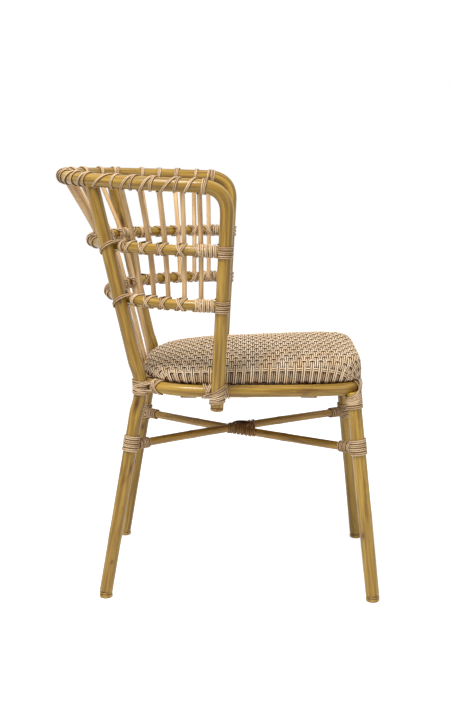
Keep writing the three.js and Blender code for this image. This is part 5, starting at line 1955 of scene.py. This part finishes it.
@dataclass
class Studio:
    """White floor and surroundings, two soft lamps and the camera."""

    place: Place = (-2.7035, -0.0523, 0.8887)
    yaw: float = 0.016
    pitch: float = 0.1656
    roll: float = 0.0084
    focal_share: float = 1359.82 / 713
    sensor: float = 36.0
    floor_size: float = 14.0
    floor_grey: float = 0.8
    floor_glow: float = 0.72
    around: float = 0.42
    key_lamp: tuple[Place, float, float] = ((-1.2, 0.8, 2.9), 1.3, 92.0)
    fill_lamp: tuple[Place, float, float] = ((-1.6, -2.2, 1.5), 1.6, 15.0)
    lamps_aim: Place = (0.0, 0.0, 0.45)

    def camera(self) -> None:
        """Sets the camera where the photograph was taken from."""
        made = bpy.data.objects.new("camera", bpy.data.cameras.new("camera"))
        bpy.context.scene.collection.objects.link(made)
        made.data.sensor_width = self.sensor
        made.data.lens = self.sensor * self.focal_share
        flat = math.cos(self.pitch)
        forward = np.array([flat * math.cos(self.yaw), flat * math.sin(self.yaw), -math.sin(self.pitch)])
        level = unit(np.cross(forward, UP))
        upright = np.cross(level, forward)
        right = level * math.cos(self.roll) + upright * math.sin(self.roll)
        up = upright * math.cos(self.roll) - level * math.sin(self.roll)
        made.matrix_world = placing(right, up, -forward, np.array(self.place) + Skeleton.shift * BACK)
        bpy.context.scene.camera = made

    def seen(self, graph: Graph) -> bpy.types.NodeSocket:
        """Whether a ray is seen by the camera, in gloss or through glass.

        Args:
            graph: The graph to add it to.

        Returns:
            One where it is, or else zero.
        """
        path = graph.node("LightPath")
        gloss = graph.math("MAXIMUM", path.outputs["Is Glossy Ray"], path.outputs["Is Transmission Ray"])
        return graph.math("MAXIMUM", path.outputs["Is Camera Ray"], gloss)

    def surroundings(self) -> None:
        """Makes the world white to look at and plain as a light."""
        world = bpy.data.worlds.new("studio")
        bpy.context.scene.world = world
        world.use_nodes = True
        graph = Graph(world.node_tree)
        light = graph.node("Background", {"Color": (1.0, 1.0, 1.0, 1.0), "Strength": self.around})
        white = graph.node("Background", {"Color": (1.0, 1.0, 1.0, 1.0), "Strength": 1.0})
        mixed = graph.node("MixShader", {0: self.seen(graph), 1: light.outputs[0], 2: white.outputs[0]})
        graph.node("OutputWorld", {"Surface": mixed.outputs[0]})

    def floor(self) -> None:
        """Makes the white floor, which keeps the chair's soft shadow."""
        half = self.floor_size / 2
        mesh = bpy.data.meshes.new("studio_floor")
        mesh.from_pydata([(-half, -half, 0.0), (half, -half, 0.0), (half, half, 0.0), (-half, half, 0.0)], [],
                         [(0, 1, 2, 3)])
        paint = bpy.data.materials.new("studio_floor")
        paint.use_nodes = True
        graph = Graph(paint.node_tree)
        matt = graph.node("BsdfDiffuse", {"Color": (*[self.floor_grey] * 3, 1.0)})
        strength = graph.math("MULTIPLY", self.seen(graph), self.floor_glow)
        glow = graph.node("Emission", {"Color": (1.0, 1.0, 1.0, 1.0), "Strength": strength})
        both = graph.node("AddShader", {0: matt.outputs[0], 1: glow.outputs[0]})
        graph.node("OutputMaterial", {"Surface": both.outputs[0]})
        mesh.materials.append(paint)
        made = bpy.data.objects.new("studio_floor", mesh)
        bpy.context.scene.collection.objects.link(made)

    def lamp(self, name: str, place: Place, size: float, power: float) -> None:
        """Adds a soft lamp that faces the seat.

        Args:
            name: Its name.
            place: Where it hangs.
            size: The side of its square face.
            power: Its power in watts.
        """
        made = bpy.data.objects.new(name, bpy.data.lights.new(name, "AREA"))
        bpy.context.scene.collection.objects.link(made)
        made.data.size, made.data.energy = size, power
        back = unit(np.array(place) - np.array(self.lamps_aim))
        right = unit(np.cross(UP, back))
        made.matrix_world = placing(right, np.cross(back, right), back, np.array(place))

    def build(self) -> None:
        """Makes the surroundings, the floor, the lamps and the camera."""
        bpy.context.scene.view_settings.view_transform = "Standard"
        self.surroundings()
        self.floor()
        self.lamp("key_lamp", *self.key_lamp)
        self.lamp("fill_lamp", *self.fill_lamp)
        self.camera()


def main() -> None:
    """Builds the chair on its frame, then the studio."""
    logging.basicConfig(level=logging.INFO, format="%(name)s %(message)s")
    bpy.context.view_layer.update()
    skeleton = Skeleton()
    Poles(skeleton).build()
    EndCaps(skeleton).build()
    Lashings(skeleton).build()
    WovenSeat().build()
    SeatSupport().dress()
    Studio().build()
    bpy.context.view_layer.update()


if __name__ == "__main__":
    main()
